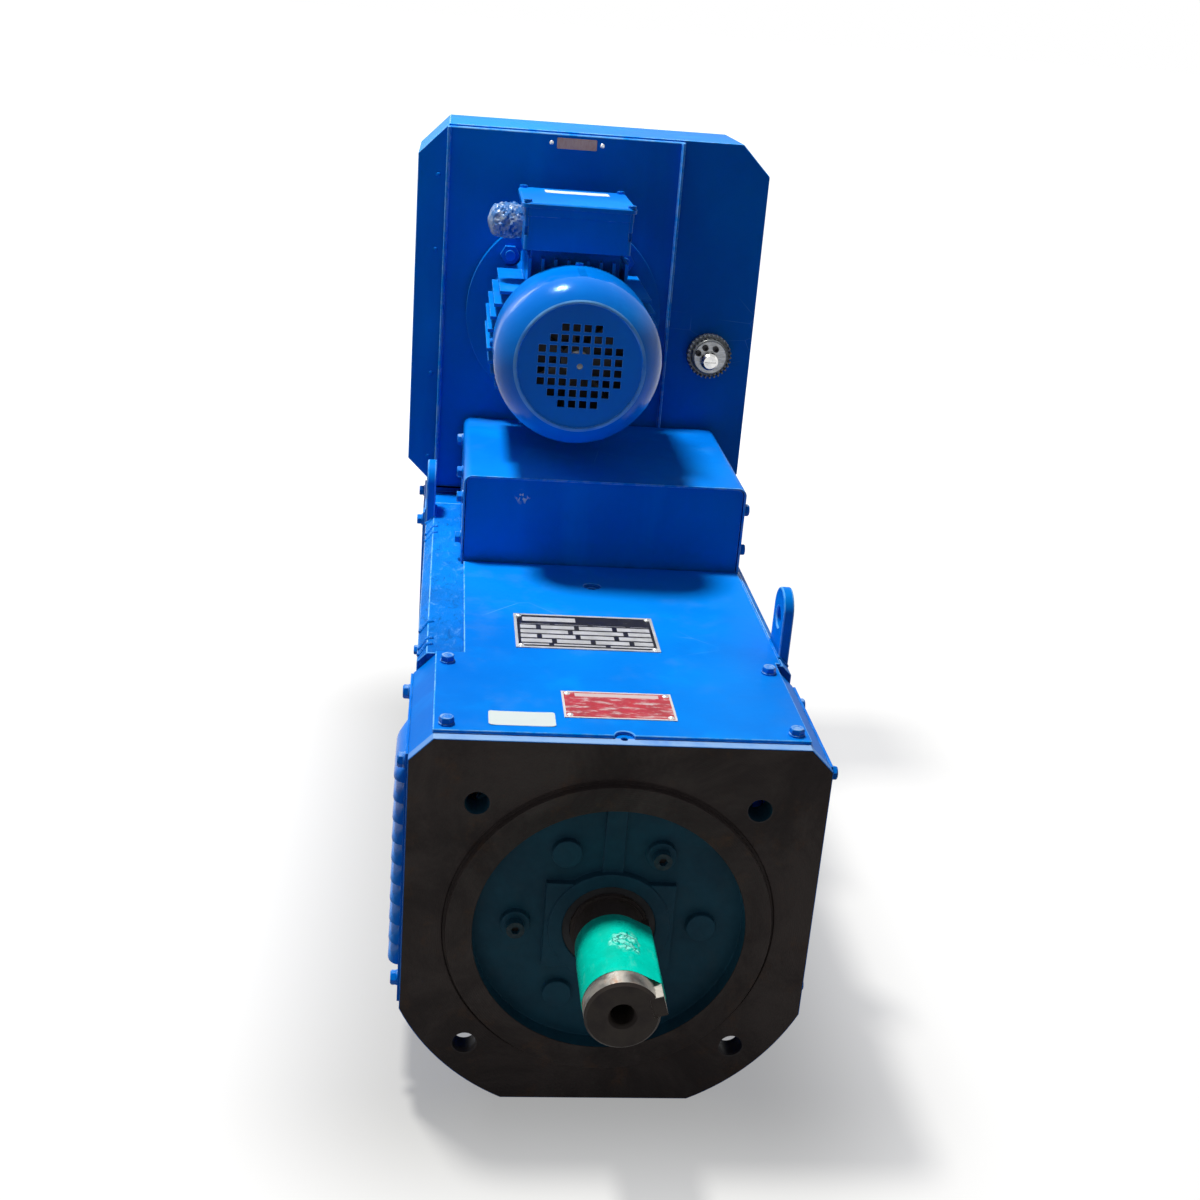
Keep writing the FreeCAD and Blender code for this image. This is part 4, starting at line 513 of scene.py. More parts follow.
def shield_enamel(name):
    """Enamel of the drive-end shield, pale on the flange's up-facing rim in front of the top cover, with
    dust and a painted highlight.
    """
    f = enamel_base(name, 0.02)
    colour, roughness, normal = enamel_layers(f)
    # Dust and painted highlight: the up-facing lip at the front turns pale.
    lip = f.times(f.ramp(f.axis(1), LIP_Y + LIP_FADE, LIP_Y), f.ramp(f.facing(2), 0.40, 0.95))
    dust = f.times(lip, f.ramp(f.noise(30.0, 6.0, 0.65), 0.15, 0.55, 0.3, 0.95))
    colour = f.blend(dust, colour, PALE_DUST_AND_GLINT)
    return f.finish(colour, f.plus(roughness, f.times(dust, 0.3)), normal)


def screw_enamel(name):
    """Enamel of the hex screws, pale on heads that face up as a painted glint."""
    f = enamel_base(name)
    colour, roughness, normal = enamel_layers(f)
    # Painted glint on the tops of the heads.
    rub_and_glint = f.times(f.ramp(f.facing(2), 0.80, 0.97), f.cloud(0.38, 0.58, 150.0, 5.0, 0.7))
    return f.finish(f.blend(rub_and_glint, colour, PALE_DUST_AND_GLINT, 0.85), roughness, normal)


def recess_colour(f):
    return f.blend(f.cloud(0.30, 0.72, 16.0, 6.0, 0.65), RECESS_DEEP, RECESS_BLUE)


def recess_paint(name):
    """Dusty dark paint of the flange's recess; in the pockets behind the bolt holes it stands as painted
    shade.
    """
    f = Finish(name, Specular_IOR_Level=0.10)
    grain = f.noise(220.0, 5.0, 0.6)
    dust = f.cloud(0.50, 0.80, 38.0, 6.0, 0.7)
    colour = f.blend(dust, recess_colour(f), (0.045, 0.070, 0.075, 1), 0.25)
    normal = f.relief(grain, 0.12 * MM, f.eased_normal(EDGE_EASE))
    return f.finish(colour, f.ramp(grain, 0.2, 0.8, 0.42, 0.60), normal)


def flange_iron(name):
    """Bare turned iron of the flange face, stained brown and black."""
    f = Finish(name, Specular_IOR_Level=0.10)
    stain = f.cloud(0.34, 0.68, 11.0, 7.0, 0.68, twist=0.6)
    colour = f.blend(stain, IRON_DARK, IRON)
    colour = f.blend(f.cloud(0.52, 0.78, 34.0, 7.0, 0.72), colour, RUST, 0.55)
    specks = f.ramp(f.cells(420.0), 0.05, 0.16, 1.0, 0.0)
    colour = f.blend(specks, colour, IRON_DARK, 0.35)
    turned = f.plus(f.times(f.waves(f.from_axis(), FLANGE_FEED), 0.12), f.noise(240.0, 5.0, 0.6))
    return f.finish(colour, f.between(stain, 0.62, 0.46), f.relief(turned, 0.22 * MM))


def bore_shade(name):
    """Black iron inside the bolt holes: painted shade, uneven in patches."""
    f = Finish(name, Specular_IOR_Level=0.25)
    stain = f.cloud(0.35, 0.68, 60.0, 6.0, 0.65)
    colour = f.blend(stain, (0.006, 0.005, 0.006, 1), IRON_DARK)
    return f.finish(colour, f.between(stain, 0.5, 0.7), f.relief(f.noise(300.0, 4.0), 0.1 * MM))


def cap_screw_paint(name):
    """Socket screws painted over with the recess, dusty in front and black inside as painted shade of the
    sockets; blue at the rear.
    """
    f = Finish(name, Specular_IOR_Level=0.10)
    y = f.axis(1)
    forward = f.calc("LESS_THAN", f.facing(1), -0.4)
    face = f.times(forward, f.calc("LESS_THAN", y, SCREW_FACE_Y))
    socket = f.times(forward, f.calc("GREATER_THAN", y, SCREW_FACE_Y))
    dirt = f.cloud(0.35, 0.70, 240.0, 5.0, 0.6)
    dusty = f.blend(dirt, (0.020, 0.042, 0.055, 1), (0.050, 0.066, 0.075, 1))
    colour = f.blend(face, recess_colour(f), dusty)
    # Painted shade: black inside the sockets.
    colour = f.blend(socket, colour, IRON_DARK)
    rear = f.calc("GREATER_THAN", y, REAR_SCREWS_Y)
    colour = f.blend(rear, colour, f.blend(dirt, BLUE_DEEP, BLUE))
    normal = f.relief(dirt, 0.08 * MM, f.eased_normal(EDGE_EASE / 2))
    return f.finish(colour, f.between(dirt, 0.55, 0.40), normal)


def turned_height(f, pitch):
    """Height of fine rings turned about the Y axis, on flat and round faces."""
    lines = f.waves(f.plus(f.from_axis(), f.axis(1)), pitch)
    return f.relief(f.plus(f.times(lines, 0.4), f.noise(500.0, 4.0)), 0.06 * MM)


def bearing_steel(name):
    """Bright turned steel of the bearings."""
    f = Finish(name, Metallic=1.0)
    stain = f.cloud(0.36, 0.66, 42.0, 6.0, 0.65)
    return f.finish(f.blend(stain, STEEL, BRIGHT_STEEL), f.between(stain, 0.40, 0.18),
                    turned_height(f, BEARING_FEED))


def shaft_steel(name):
    """Shaft, bright and rust-streaked beyond the tape, brown behind it and on end faces, and dark brown in
    its thread as painted shade.
    """
    f = Finish(name, Specular_IOR_Level=0.15)
    stain = f.cloud(0.34, 0.66, 46.0, 6.0, 0.65)
    bright = f.blend(stain, STEEL, BRIGHT_STEEL)
    brown = f.blend(stain, IRON_DARK, STEEL_BROWN)
    end_face = f.calc("LESS_THAN", f.facing(1), -0.5)
    dull = f.calc("MAXIMUM", end_face, f.ramp(f.axis(1), *SHAFT_BRIGHT_Y))
    # Painted shade: dark inside the tapped hole.
    dull = f.calc("MAXIMUM", dull, f.calc("LESS_THAN", f.from_axis(), SHAFT_THREAD_R))
    bloom = f.cloud(0.46, 0.66, 60.0, 6.0, 0.7, (1, 0.5, 1))
    leftward = f.ramp(f.axis(0), *SHAFT_RUST_X, 0.25, 0.95)
    bright = f.blend(f.times(bloom, leftward), bright, ORANGE_RUST)
    colour = f.blend(dull, bright, brown)
    roughness = f.plus(f.between(stain, 0.50, 0.28), f.times(dull, 0.15))
    return f.finish(colour, roughness, turned_height(f, SHAFT_FEED), f.between(dull, 0.95, 0.05))


def brushed(name, base, shade, stretch, metal=1.0, roughness=0.32, speckle=0.35):
    """Metal with a grain drawn along one direction and small darker spots."""
    f = Finish(name, Metallic=metal)
    grain = f.noise(160.0, 5.0, 0.6, stretch)
    colour = f.blend(f.cloud(0.42, 0.74, 55.0, 6.0, 0.65), base, shade, speckle)
    colour = f.blend(f.ramp(grain, 0.40, 0.80, 0.0, 0.4), colour, shade)
    roughness = f.ramp(grain, 0.2, 0.8, roughness - 0.08, roughness + 0.14)
    return f.finish(colour, roughness, f.relief(grain, 0.05 * MM))


def switch_plate(name):
    """Dull plated disc of the switch, with black spots at the terminals as painted shade of their holes."""
    f = Finish(name, Metallic=0.8)
    grain = f.noise(160.0, 5.0, 0.6, (1, 1, 4))
    colour = f.blend(f.ramp(grain, 0.35, 0.75), (0.22, 0.23, 0.24, 1), (0.40, 0.41, 0.42, 1))
    # Painted shade: black spots where the terminal holes are.
    for across, up in SWITCH_TERMINALS:
        near = f.calc("LESS_THAN", f.from_axis(SWITCH_X + across, SWITCH_Z + up), SWITCH_TERMINAL_R)
        colour = f.blend(near, colour, PLATE_BLACK)
    return f.finish(colour, f.ramp(grain, 0.2, 0.8, 0.22, 0.40), f.relief(grain, 0.05 * MM))


def stacked_sheet(name):
    """Punched sheets stacked along Y, varnished."""
    f = Finish(name, Metallic=0.8)
    lines = f.waves(f.axis(1), CORE_SHEET)
    cloud = f.cloud(0.35, 0.70, 30.0, 5.0)
    colour = f.blend(cloud, (0.10, 0.10, 0.11, 1), (0.26, 0.26, 0.27, 1))
    colour = f.blend(f.ramp(lines, 0.4, 1.0, 0.0, 0.4), colour, STEEL_DARK)
    return f.finish(colour, f.between(cloud, 0.48, 0.36), f.relief(lines, 0.08 * MM))


def wound_copper(name):
    """Varnished copper turns."""
    f = Finish(name, Metallic=0.75)
    cloud = f.cloud(0.35, 0.70, 45.0, 5.0)
    colour = f.blend(cloud, (0.30, 0.10, 0.035, 1), (0.62, 0.27, 0.11, 1))
    turns = f.waves(f.axis(1), COPPER_TURN)
    return f.finish(colour, f.between(cloud, 0.42, 0.28), f.relief(turns, 0.20 * MM))


def moulded(name, base, shade, roughness=0.45, grain=600.0, **sockets):
    """Cast or moulded stuff with a fine even grain and faint clouding."""
    f = Finish(name, **sockets)
    cloud = f.cloud(0.32, 0.70, 24.0, 5.0, 0.6)
    colour = f.blend(cloud, shade, base)
    pores = f.relief(f.noise(grain, 3.0, 0.6), 0.05 * MM)
    return f.finish(colour, f.between(cloud, roughness + 0.10, roughness - 0.05), pores)


def green_tape(name):
    """Glossy protective tape with stretch marks and one creased, strained patch, whose pale facets are
    partly painted glints and whose dark creases are painted shade.
    """
    f = Finish(name, Specular_IOR_Level=0.45, Specular_Tint=(0.4, 1.0, 0.8, 1))
    cloud = f.cloud(0.30, 0.72, 40.0, 5.0, 0.6)
    colour = f.blend(cloud, TAPE_DARK, TAPE_GREEN)
    strain = f.cloud(0.58, 0.80, 120.0, 6.0, 0.7, (1, 0.35, 1))
    colour = f.blend(strain, colour, TAPE_PALE_AND_GLINT, 0.35)
    middle = (TAPE_SHAFT_R * math.cos(TAPE_PATCH), TAPE_PATCH_Y, TAPE_SHAFT_R * math.sin(TAPE_PATCH))
    ragged = f.times(f.noise(90.0, 3.0), 18 * MM)
    patch = f.ramp(f.plus(f.distance(middle), ragged), 22 * MM, 18 * MM)
    crease = f.cells(105.0, "DISTANCE_TO_EDGE", (1, 1.8, 1))
    facet = f.cloud(0.42, 0.56, 120.0, 2.0, 0.5, (1, 1.5, 1), 1.5)
    # Pale facets in the patch: strain whitening and painted glints.
    colour = f.blend(f.times(patch, facet), colour, TAPE_PALE_AND_GLINT, 0.80)
    # Painted shade in the creases of the patch.
    colour = f.blend(f.times(patch, f.ramp(crease, 0.06, 0.02)), colour, TAPE_CREASE_SHADE, 0.80)
    ripple = f.plus(f.noise(210.0, 4.0, 0.6, (0.5, 1, 0.5)), f.noise(60.0, 3.0))
    ripple = f.plus(ripple, f.times(patch, crease, 8.0))
    return f.finish(colour, f.between(cloud, 0.34, 0.22), f.relief(ripple, 0.20 * MM))


def unit_square(node):
    """Stretch and shift that take X and Y on a node from 0 to 1 over its box."""
    low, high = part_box(node)
    size = high - low
    return (1 / size.x, 1 / size.y, 0), (-low.x / size.x, -low.y / size.y, 0)


def field(f, unit, across, along):
    """One inside a rectangle, given as shares of a node's box, and zero outside it."""
    result = 1.0
    for index, (low, high) in ((0, across), (1, along)):
        value = f.axis(index, *unit)
        within = f.times(f.calc("GREATER_THAN", value, low), f.calc("LESS_THAN", value, high))
        result = f.times(within, result)
    return result


def etched_plate(name, node):
    """Aluminium plate with a black etched ground and rows of blank bare fields."""
    f = Finish(name, Metallic=0.25, Specular_IOR_Level=0.5)
    unit = unit_square(node)
    ground = field(f, unit, (0.02, 0.98), (0.04, 0.96))
    layout = {"Vector": f.place(*unit), "Scale": 1.0, "Mortar Size": 0.018, "Mortar Smooth": 0.05,
              "Bias": 0.0, "Brick Width": 0.27, "Row Height": 0.135}
    bricks = f.node("TexBrick", layout, offset=0.37, offset_frequency=2, squash=1.45, squash_frequency=3)
    rows = field(f, unit, (0.04, 0.96), (0.08, 0.70))
    band = field(f, unit, (0.06, 0.44), (0.78, 0.90))
    bare = f.calc("MAXIMUM", f.times(f.rest(bricks.outputs["Fac"]), rows), band)
    worn = f.cloud(0.58, 0.80, 300.0, 5.0, 0.7)
    black = f.times(ground, f.rest(bare), f.rest(f.times(worn, 0.35)))
    cloud = f.cloud(0.35, 0.70, 70.0, 5.0)
    silver = f.blend(cloud, (0.46, 0.47, 0.48, 1), PLATE_SILVER)
    colour = f.blend(black, silver, PLATE_BLACK)
    return f.finish(colour, f.between(cloud, 0.42, 0.30), f.relief(f.rest(black), 0.05 * MM))


def red_enamel_plate(name, node):
    """Red plate with a bare rim, a bare strip near its far edge and rubbed patches."""
    f = Finish(name, Specular_IOR_Level=0.4)
    unit = unit_square(node)
    ground = field(f, unit, (0.02, 0.98), (0.035, 0.965))
    strip = field(f, unit, (0.12, 0.88), (0.80, 0.93))
    rubbed = f.cloud(0.49, 0.66, 130.0, 6.0, 0.72, (0.5, 1.6, 1))
    bare = f.calc("MAXIMUM", f.times(strip, 0.75), f.times(rubbed, 0.70))
    red = f.times(ground, f.rest(bare))
    cloud = f.cloud(0.30, 0.70, 55.0, 5.0)
    enamel = f.blend(cloud, (0.33, 0.025, 0.035, 1), PLATE_RED)
    colour = f.blend(red, (0.62, 0.60, 0.60, 1), enamel)
    return f.finish(colour, f.between(cloud, 0.45, 0.33), f.relief(red, 0.04 * MM))


def bare_paper(name):
    """Coated label paper with a little dirt and its fibre."""
    f = Finish(name, Specular_IOR_Level=0.3)
    smear = f.cloud(0.55, 0.82, 60.0, 6.0, 0.7)
    colour = f.blend(smear, PAPER, (0.45, 0.50, 0.52, 1), 0.35)
    return f.finish(colour, f.between(smear, 0.55, 0.70), f.relief(f.noise(900.0, 4.0), 0.03 * MM))


def crumpled_film(name):
    """Clear film, creased and caught by blue overspray."""
    f = Finish(name, Specular_IOR_Level=0.6)
    spray = f.cloud(0.32, 0.54, 85.0, 5.0, 0.65)
    colour = f.blend(spray, (0.50, 0.58, 0.66, 1), (0.01, 0.13, 0.42, 1))
    crease = f.cells(150.0, "DISTANCE_TO_EDGE")
    return f.finish(colour, f.between(spray, 0.18, 0.34), f.relief(crease, 0.8 * MM))


def make_finishes():
    """One finish for each material slot of the record, and those of single nodes and added pieces."""
    return {
        "blue_enamel": blue_enamel("blue enamel"),
        "shield_casting": shield_enamel("shield casting enamel"),
        "screw_enamel": screw_enamel("screw enamel with painted glints"),
        "glossy_enamel": glossy_enamel("glossy cowl enamel"),
        "worn_and_highlit_edge": worn_and_highlit_edge("rubbed and highlit enamel edge"),
        "flange_iron": flange_iron("turned flange iron"),
        "recess_paint": recess_paint("dark recess paint"),
        "bore_shade": bore_shade("painted bore shade"),
        "laminated_enamel": laminated_enamel("laminated frame enamel"),
        "cap_screws": cap_screw_paint("painted socket screws"),
        "shaft_steel": shaft_steel("turned shaft steel"),
        "core_steel": stacked_sheet("stacked core sheet"),
        "bearing_steel": bearing_steel("bearing steel"),
        "grey_iron": moulded("grey cast iron", (0.16, 0.16, 0.17, 1), (0.07, 0.07, 0.075, 1), 0.6, 300.0,
                             Metallic=0.6),
        "copper": wound_copper("wound copper"),
        "insulation": moulded("brown insulation", (0.30, 0.15, 0.07, 1), (0.18, 0.08, 0.035, 1), 0.5),
        "brass": brushed("machined brass", (0.72, 0.52, 0.20, 1), (0.42, 0.28, 0.09, 1), (1, 6, 1)),
        "carbon": moulded("brush carbon", (0.055, 0.055, 0.060, 1), (0.025, 0.025, 0.028, 1), 0.55),
        "seal_rubber": moulded("seal rubber", (0.030, 0.030, 0.032, 1), (0.014, 0.014, 0.015, 1), 0.6,
                               Specular_IOR_Level=0.2),
        "fan_plastic": moulded("fan plastic", (0.050, 0.050, 0.052, 1), (0.022, 0.022, 0.024, 1), 0.4),
        "die_cast": brushed("die-cast aluminium", (0.56, 0.57, 0.58, 1), (0.34, 0.35, 0.36, 1), (1, 1, 1)),
        "zinc_sheet": brushed("galvanised sheet", (0.58, 0.60, 0.61, 1), (0.36, 0.38, 0.40, 1), (1, 1, 3)),
        "name_plate": etched_plate("etched rating plate", "rating_plate"),
        "red_plate": red_enamel_plate("red service plate", "service_plate"),
        "gland_metal": brushed("sprayed gland", (0.05, 0.24, 0.66, 1), (0.40, 0.44, 0.48, 1), (3, 1, 1),
                               metal=0.5),
        "switch_grey": moulded("smoky switch plastic", (0.20, 0.22, 0.23, 1), (0.11, 0.12, 0.13, 1), 0.22),
        "switch_plate": switch_plate("switch disc"),
        "knob_chrome": brushed("bright knob", (0.66, 0.66, 0.65, 1), (0.38, 0.38, 0.38, 1), (1, 5, 1),
                               roughness=0.2),
        "green_tape": green_tape("green shaft tape"),
        "paper": bare_paper("label paper"),
        "film": crumpled_film("gland film"),
        "small_plate": brushed("bare small plate", (0.26, 0.19, 0.19, 1), (0.20, 0.07, 0.06, 1), (3, 1, 1),
                               metal=0.5, roughness=0.4, speckle=0.8),
    }


def own_finish(node, made):
    return made[OWN_FINISH.get(node, SLOTS[node])]


def dress_nodes(made):
    """Give every CAD node the finish of its slot, or its own."""
    for node in SLOTS:
        materials = NODES[node].data.materials
        materials.clear()
        materials.append(own_finish(node, made))


def closed_mesh(name, bm, material, crease):
    """Mesh with its faces outwards, smooth except over edges sharper than the crease angle in degrees."""
    bmesh.ops.recalc_face_normals(bm, faces=bm.faces)
    mesh = bpy.data.meshes.new(name)
    bm.to_mesh(mesh)
    bm.free()
    mesh.materials.append(material)
    mesh.shade_smooth()
    mesh.set_sharp_from_angle(angle=math.radians(crease))
    return mesh


def lofted(rings, loop=False):
    """Skin through rings of equal length; the ends are capped unless the rings close on themselves."""
    bm = bmesh.new()
    rows = [[bm.verts.new(point) for point in ring] for ring in rings]
    pairs = list(zip(rows, rows[1:]))
    if loop:
        pairs.append((rows[-1], rows[0]))
    for one, two in pairs:
        for i in range(len(one)):
            j = (i + 1) % len(one)
            bm.faces.new((one[i], one[j], two[j], two[i]))
    if not loop:
        bm.faces.new(rows[0])
        bm.faces.new(rows[-1])
    return bm


def sleeve(name, along, around, skins, material, crease):
    """Closed wrap; skins gives its outer and inner point at a step along it and a step round it."""
    outer = []
    inner = []
    for step in range(along + 1):
        pairs = [skins(step, i) for i in range(around)]
        outer.append([over for over, under in pairs])
        inner.append([under for over, under in pairs])
    return closed_mesh(name, lofted(outer + inner[::-1], loop=True), material, crease)


def grid_faces(bm, grid, is_open=lambda i, k: False):
    """Faces between the points of a grid, left out where it is open."""
    faces = []
    for i in range(len(grid) - 1):
        for k in range(len(grid[i]) - 1):
            if not is_open(i, k):
                faces.append(bm.faces.new((grid[i][k], grid[i + 1][k], grid[i + 1][k + 1], grid[i][k + 1])))
    return faces


def thickened(bm, faces, way):
    """Give open faces a second layer, moved by way, and walls round their edges."""
    layer = bmesh.ops.extrude_face_region(bm, geom=faces, use_keep_orig=True)["geom"]
    bmesh.ops.translate(bm, vec=way, verts=[part for part in layer if isinstance(part, bmesh.types.BMVert)])


def add_piece(name, mesh, body, slot=None, stands_for=()):
    piece = bpy.data.objects.new(name, mesh)
    SCENE.collection.objects.link(piece)
    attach(piece, body)
    if stands_for:
        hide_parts(*stands_for)


def settled(name, mesh, add_modifier):
    """Plain mesh of an object after the modifier that add_modifier puts on it."""
    holder = bpy.data.objects.new(name, mesh)
    SCENE.collection.objects.link(holder)
    add_modifier(holder)
    depsgraph = bpy.context.evaluated_depsgraph_get()
    result = bpy.data.meshes.new_from_object(holder.evaluated_get(depsgraph))
    result.name = name
    bpy.data.objects.remove(holder)
    bpy.data.meshes.remove(mesh)
    return result


def merged_copy(node):
    """Copy of a CAD node with its loose triangles joined."""
    bm = bmesh.new()
    bm.from_mesh(NODES[node].data)
    bmesh.ops.remove_doubles(bm, verts=bm.verts, dist=JOIN_WITHIN)
    return bm


def shade_flats(mesh):
    """Point the corners of many-sided faces, and any corner that leans far off its face, straight out."""
    many = 6
    least_along = 0.6
    normals = np.empty(len(mesh.loops) * 3, np.float32)
    mesh.corner_normals.foreach_get("vector", normals)
    normals = normals.reshape(-1, 3)
    for face in mesh.polygons:
        corners = slice(face.loop_start, face.loop_start + face.loop_total)
        if face.loop_total > many or (normals[corners] @ np.array(face.normal)).min() < least_along:
            normals[corners] = face.normal
    mesh.normals_split_custom_set(normals.tolist())


def rounded_copy(node, width, paint, edge_paint):
    """Copy of a CAD node whose sharp edges are rounded and have a paint of their own."""
    bm = merged_copy(node)
    bmesh.ops.dissolve_limit(bm, angle_limit=FLAT, verts=bm.verts, edges=bm.edges)
    mesh = bpy.data.meshes.new(node + "_copy")
    bm.to_mesh(mesh)
    bm.free()
    mesh.shade_smooth()
    mesh.set_sharp_from_angle(angle=SHARP)
    mesh.materials.append(paint)
    mesh.materials.append(edge_paint)

    def bevel(holder):
        rounding = holder.modifiers.new("rounded edges", "BEVEL")
        rounding.width = width
        rounding.segments = 2
        rounding.limit_method = "ANGLE"
        rounding.angle_limit = SHARP
        rounding.use_clamp_overlap = False
        rounding.harden_normals = True
        rounding.material = 1

    result = settled(node + "_rounded", mesh, bevel)
    shade_flats(result)
    return result


def shield_zone(points):
    """Finish of one face of the drive-end shield, by where its corners lie."""
    radius = np.hypot(points[:, 0], points[:, 2]).max()
    back = points[:, 1].max()
    hole = np.hypot(np.abs(points[:, 0]) - BOLT_HOLE_AT, np.abs(points[:, 2]) - BOLT_HOLE_AT).max()
    if radius < RECESS_R and back < RECESS_FLOOR_Y:
        return "recess_paint"
    # Painted shade: the walls of the bolt holes are near black.
    if hole < BOLT_HOLE_R and back < FLANGE_BACK_Y:
        return "bore_shade"
    # Painted shade: the pockets behind the bolt holes take the dark recess paint.
    if hole < POCKET_R and FLANGE_BACK_Y < back < POCKET_END_Y:
        return "recess_paint"
    if back < FACE_Y or (radius < GROOVE_R and back < GROOVE_FLOOR_Y):
        return "flange_iron"
    return "shield_casting"


def dress_shield(mesh, made):
    """Give each face of the drive-end shield the finish of its zone."""
    mesh.materials.clear()
    for zone in SHIELD_ZONES:
        mesh.materials.append(made[zone])
    places = np.array([vertex.co for vertex in mesh.vertices])
    for face in mesh.polygons:
        face.material_index = SHIELD_ZONES.index(shield_zone(places[list(face.vertices)]))


def make_rounded_castings(made):
    """Castings and sheet covers with rounded edges, whose edges are pale with wear and a painted highlight
    where they are blue.
    """
    for node, width in ROUNDED:
        paint = own_finish(node, made)
        rubbed = SLOTS[node] == "blue_enamel" and node not in UNRUBBED
        mesh = rounded_copy(node, width * MM, paint, made["worn_and_highlit_edge"] if rubbed else paint)
        if node == "de_end_shield":
            dress_shield(mesh, made)
        add_piece(node + "_rounded", mesh, "stator", SLOTS[node], (node,))


class Growth:
    """Geometry tree with named inputs; it is grown over a start mesh into a plain one."""

    def __init__(self, name, **inputs):
        self.tree = bpy.data.node_groups.new(name, "GeometryNodeTree")
        for label, kind in inputs.items():
            self.tree.interface.new_socket(label, in_out="INPUT", socket_type="NodeSocket" + kind)
        self.tree.interface.new_socket("Geometry", in_out="OUTPUT", socket_type="NodeSocketGeometry")
        self.start = self.tree.nodes.new("NodeGroupInput").outputs
        self.end = self.tree.nodes.new("NodeGroupOutput").inputs

    def add(self, kind, inputs=None, **settings):
        return new_node(self.tree, kind, inputs, **settings).outputs

    def pattern(self):
        return self.add("GeometryNodeObjectInfo", {"Object": self.start["Pattern"]})["Geometry"]

    def pointing(self, axis, way):
        """Turn that brings an axis along a way."""
        return self.add("FunctionNodeAlignRotationToVector", {"Vector": way}, axis=axis)[0]

    def spread(self, points, instance, **inputs):
        put_down = {"Points": points, "Instance": instance, **inputs}
        return self.add("GeometryNodeInstanceOnPoints", put_down)[0]

    def close(self, instances):
        """Turn the instances into one mesh with the given finish."""
        real = self.add("GeometryNodeRealizeInstances", {0: instances})[0]
        dressed = {"Geometry": real, "Material": self.start["Finish"]}
        self.tree.links.new(self.add("GeometryNodeSetMaterial", dressed)[0], self.end[0])

    def grow(self, name, mesh, **values):
        def nodes(holder):
            modifier = holder.modifiers.new(self.tree.name, "NODES")
            modifier.node_group = self.tree
            for item in self.tree.interface.items_tree:
                if item.in_out == "INPUT" and item.name in values:
                    modifier[item.identifier] = values[item.name]

        return settled(name, mesh, nodes)


def places_growth():
    """A pattern on every point, facing the way stored there, each turned and shrunk a little at random."""
    g = Growth("set in places", Places="Geometry", Pattern="Object", Finish="Material", Turn="Float",
               Smallest="Float", Seed="Int")
    facing = g.add("GeometryNodeInputNamedAttribute", {"Name": "facing"}, data_type="FLOAT_VECTOR")[0]
    size = g.add("FunctionNodeRandomValue", {2: g.start["Smallest"], 3: 1.0, "Seed": g.start["Seed"]})[1]
    turn = g.add("FunctionNodeRandomValue", {3: g.start["Turn"], "Seed": g.start["Seed"]})[1]
    about = g.add("ShaderNodeCombineXYZ", {"Z": turn})[0]
    spread = g.spread(g.start["Places"], g.pattern(), Rotation=g.pointing("Z", facing), Scale=size)
    g.close(g.add("GeometryNodeRotateInstances", {"Instances": spread, "Rotation": about})[0])
    return g


def row_growth():
    """A pattern repeated down a straight row."""
    g = Growth("row", Base="Geometry", Pattern="Object", Finish="Material", Count="Int", First="Vector",
               Step="Vector")
    line = g.add("GeometryNodeMeshLine", {
        "Count": g.start["Count"], "Start Location": g.start["First"], "Offset": g.start["Step"]})[0]
    g.close(g.spread(line, g.pattern()))
    return g


def ring_growth():
    """A pattern repeated round a circle about the Y axis, each with its X axis outwards."""
    g = Growth("ring", Base="Geometry", Pattern="Object", Finish="Material", Count="Int", Radius="Float",
               Middle="Vector")
    circle = g.add("GeometryNodeMeshCircle", {"Vertices": g.start["Count"], "Radius": g.start["Radius"]})[0]
    outward = g.add("GeometryNodeInputPosition")[0]
    spread = g.spread(circle, g.pattern(), Rotation=g.pointing("X", outward))
    real = g.add("GeometryNodeRealizeInstances", {0: spread})[0]
    g.close(g.add("GeometryNodeTransform", {
        "Geometry": real, "Translation": g.start["Middle"], "Rotation": (math.pi / 2, 0, 0)})[0])
    return g


def bead_growth():
    """Run of overlapping flattened drops along the edges of a path."""
    g = Growth("weld bead", Path="Geometry", Step="Float", Width="Float", Finish="Material", Seed="Int")
    curve = g.add("GeometryNodeMeshToCurve", {0: g.start["Path"]})[0]
    even = g.add("GeometryNodeResampleCurve", {"Curve": curve, "Length": g.start["Step"]}, mode="LENGTH")[0]
    drop = g.add("GeometryNodeMeshIcoSphere", {"Radius": g.start["Width"], "Subdivisions": 2})["Mesh"]
    tangent = g.add("GeometryNodeInputTangent")[0]
    size = g.add("FunctionNodeRandomValue", {
        0: (0.55, 0.85, 0.70), 1: (0.75, 1.10, 0.95), "Seed": g.start["Seed"]}, data_type="FLOAT_VECTOR")[0]
    g.close(g.spread(even, drop, Rotation=g.pointing("X", tangent), Scale=size))
    return g


def with_pattern(growth, name, mesh, pattern, **values):
    """Mesh of a pattern repeated by a growth."""
    model = bpy.data.objects.new(name + "_pattern", pattern)
    SCENE.collection.objects.link(model)
    result = growth.grow(name, mesh, Pattern=model, **values)
    bpy.data.objects.remove(model)
    return result


def set_in_places(name, pattern, places, material, smallest, seed):
    """Mesh of one pattern at given places, each with the way that it faces, turned about it at random."""
    mesh = bpy.data.meshes.new(name + "_places")
    mesh.from_pydata([place for place, way in places], [], [])
    facing = mesh.attributes.new("facing", "FLOAT_VECTOR", "POINT")
    for index, (place, way) in enumerate(places):
        facing.data[index].vector = way
    return with_pattern(PLACES, name, mesh, pattern, Finish=material, Turn=math.pi, Smallest=smallest,
                        Seed=seed)


def islands(bm):
    """Points of each connected part."""
    left = set(bm.verts)
    groups = []
    while left:
        group = []
        edge = [left.pop()]
        while edge:
            vert = edge.pop()
            group.append(vert.co[:])
            for link in vert.link_edges:
                other = link.other_vert(vert)
                if other in left:
                    left.remove(other)
                    edge.append(other)
        groups.append(np.array(group))
    return groups


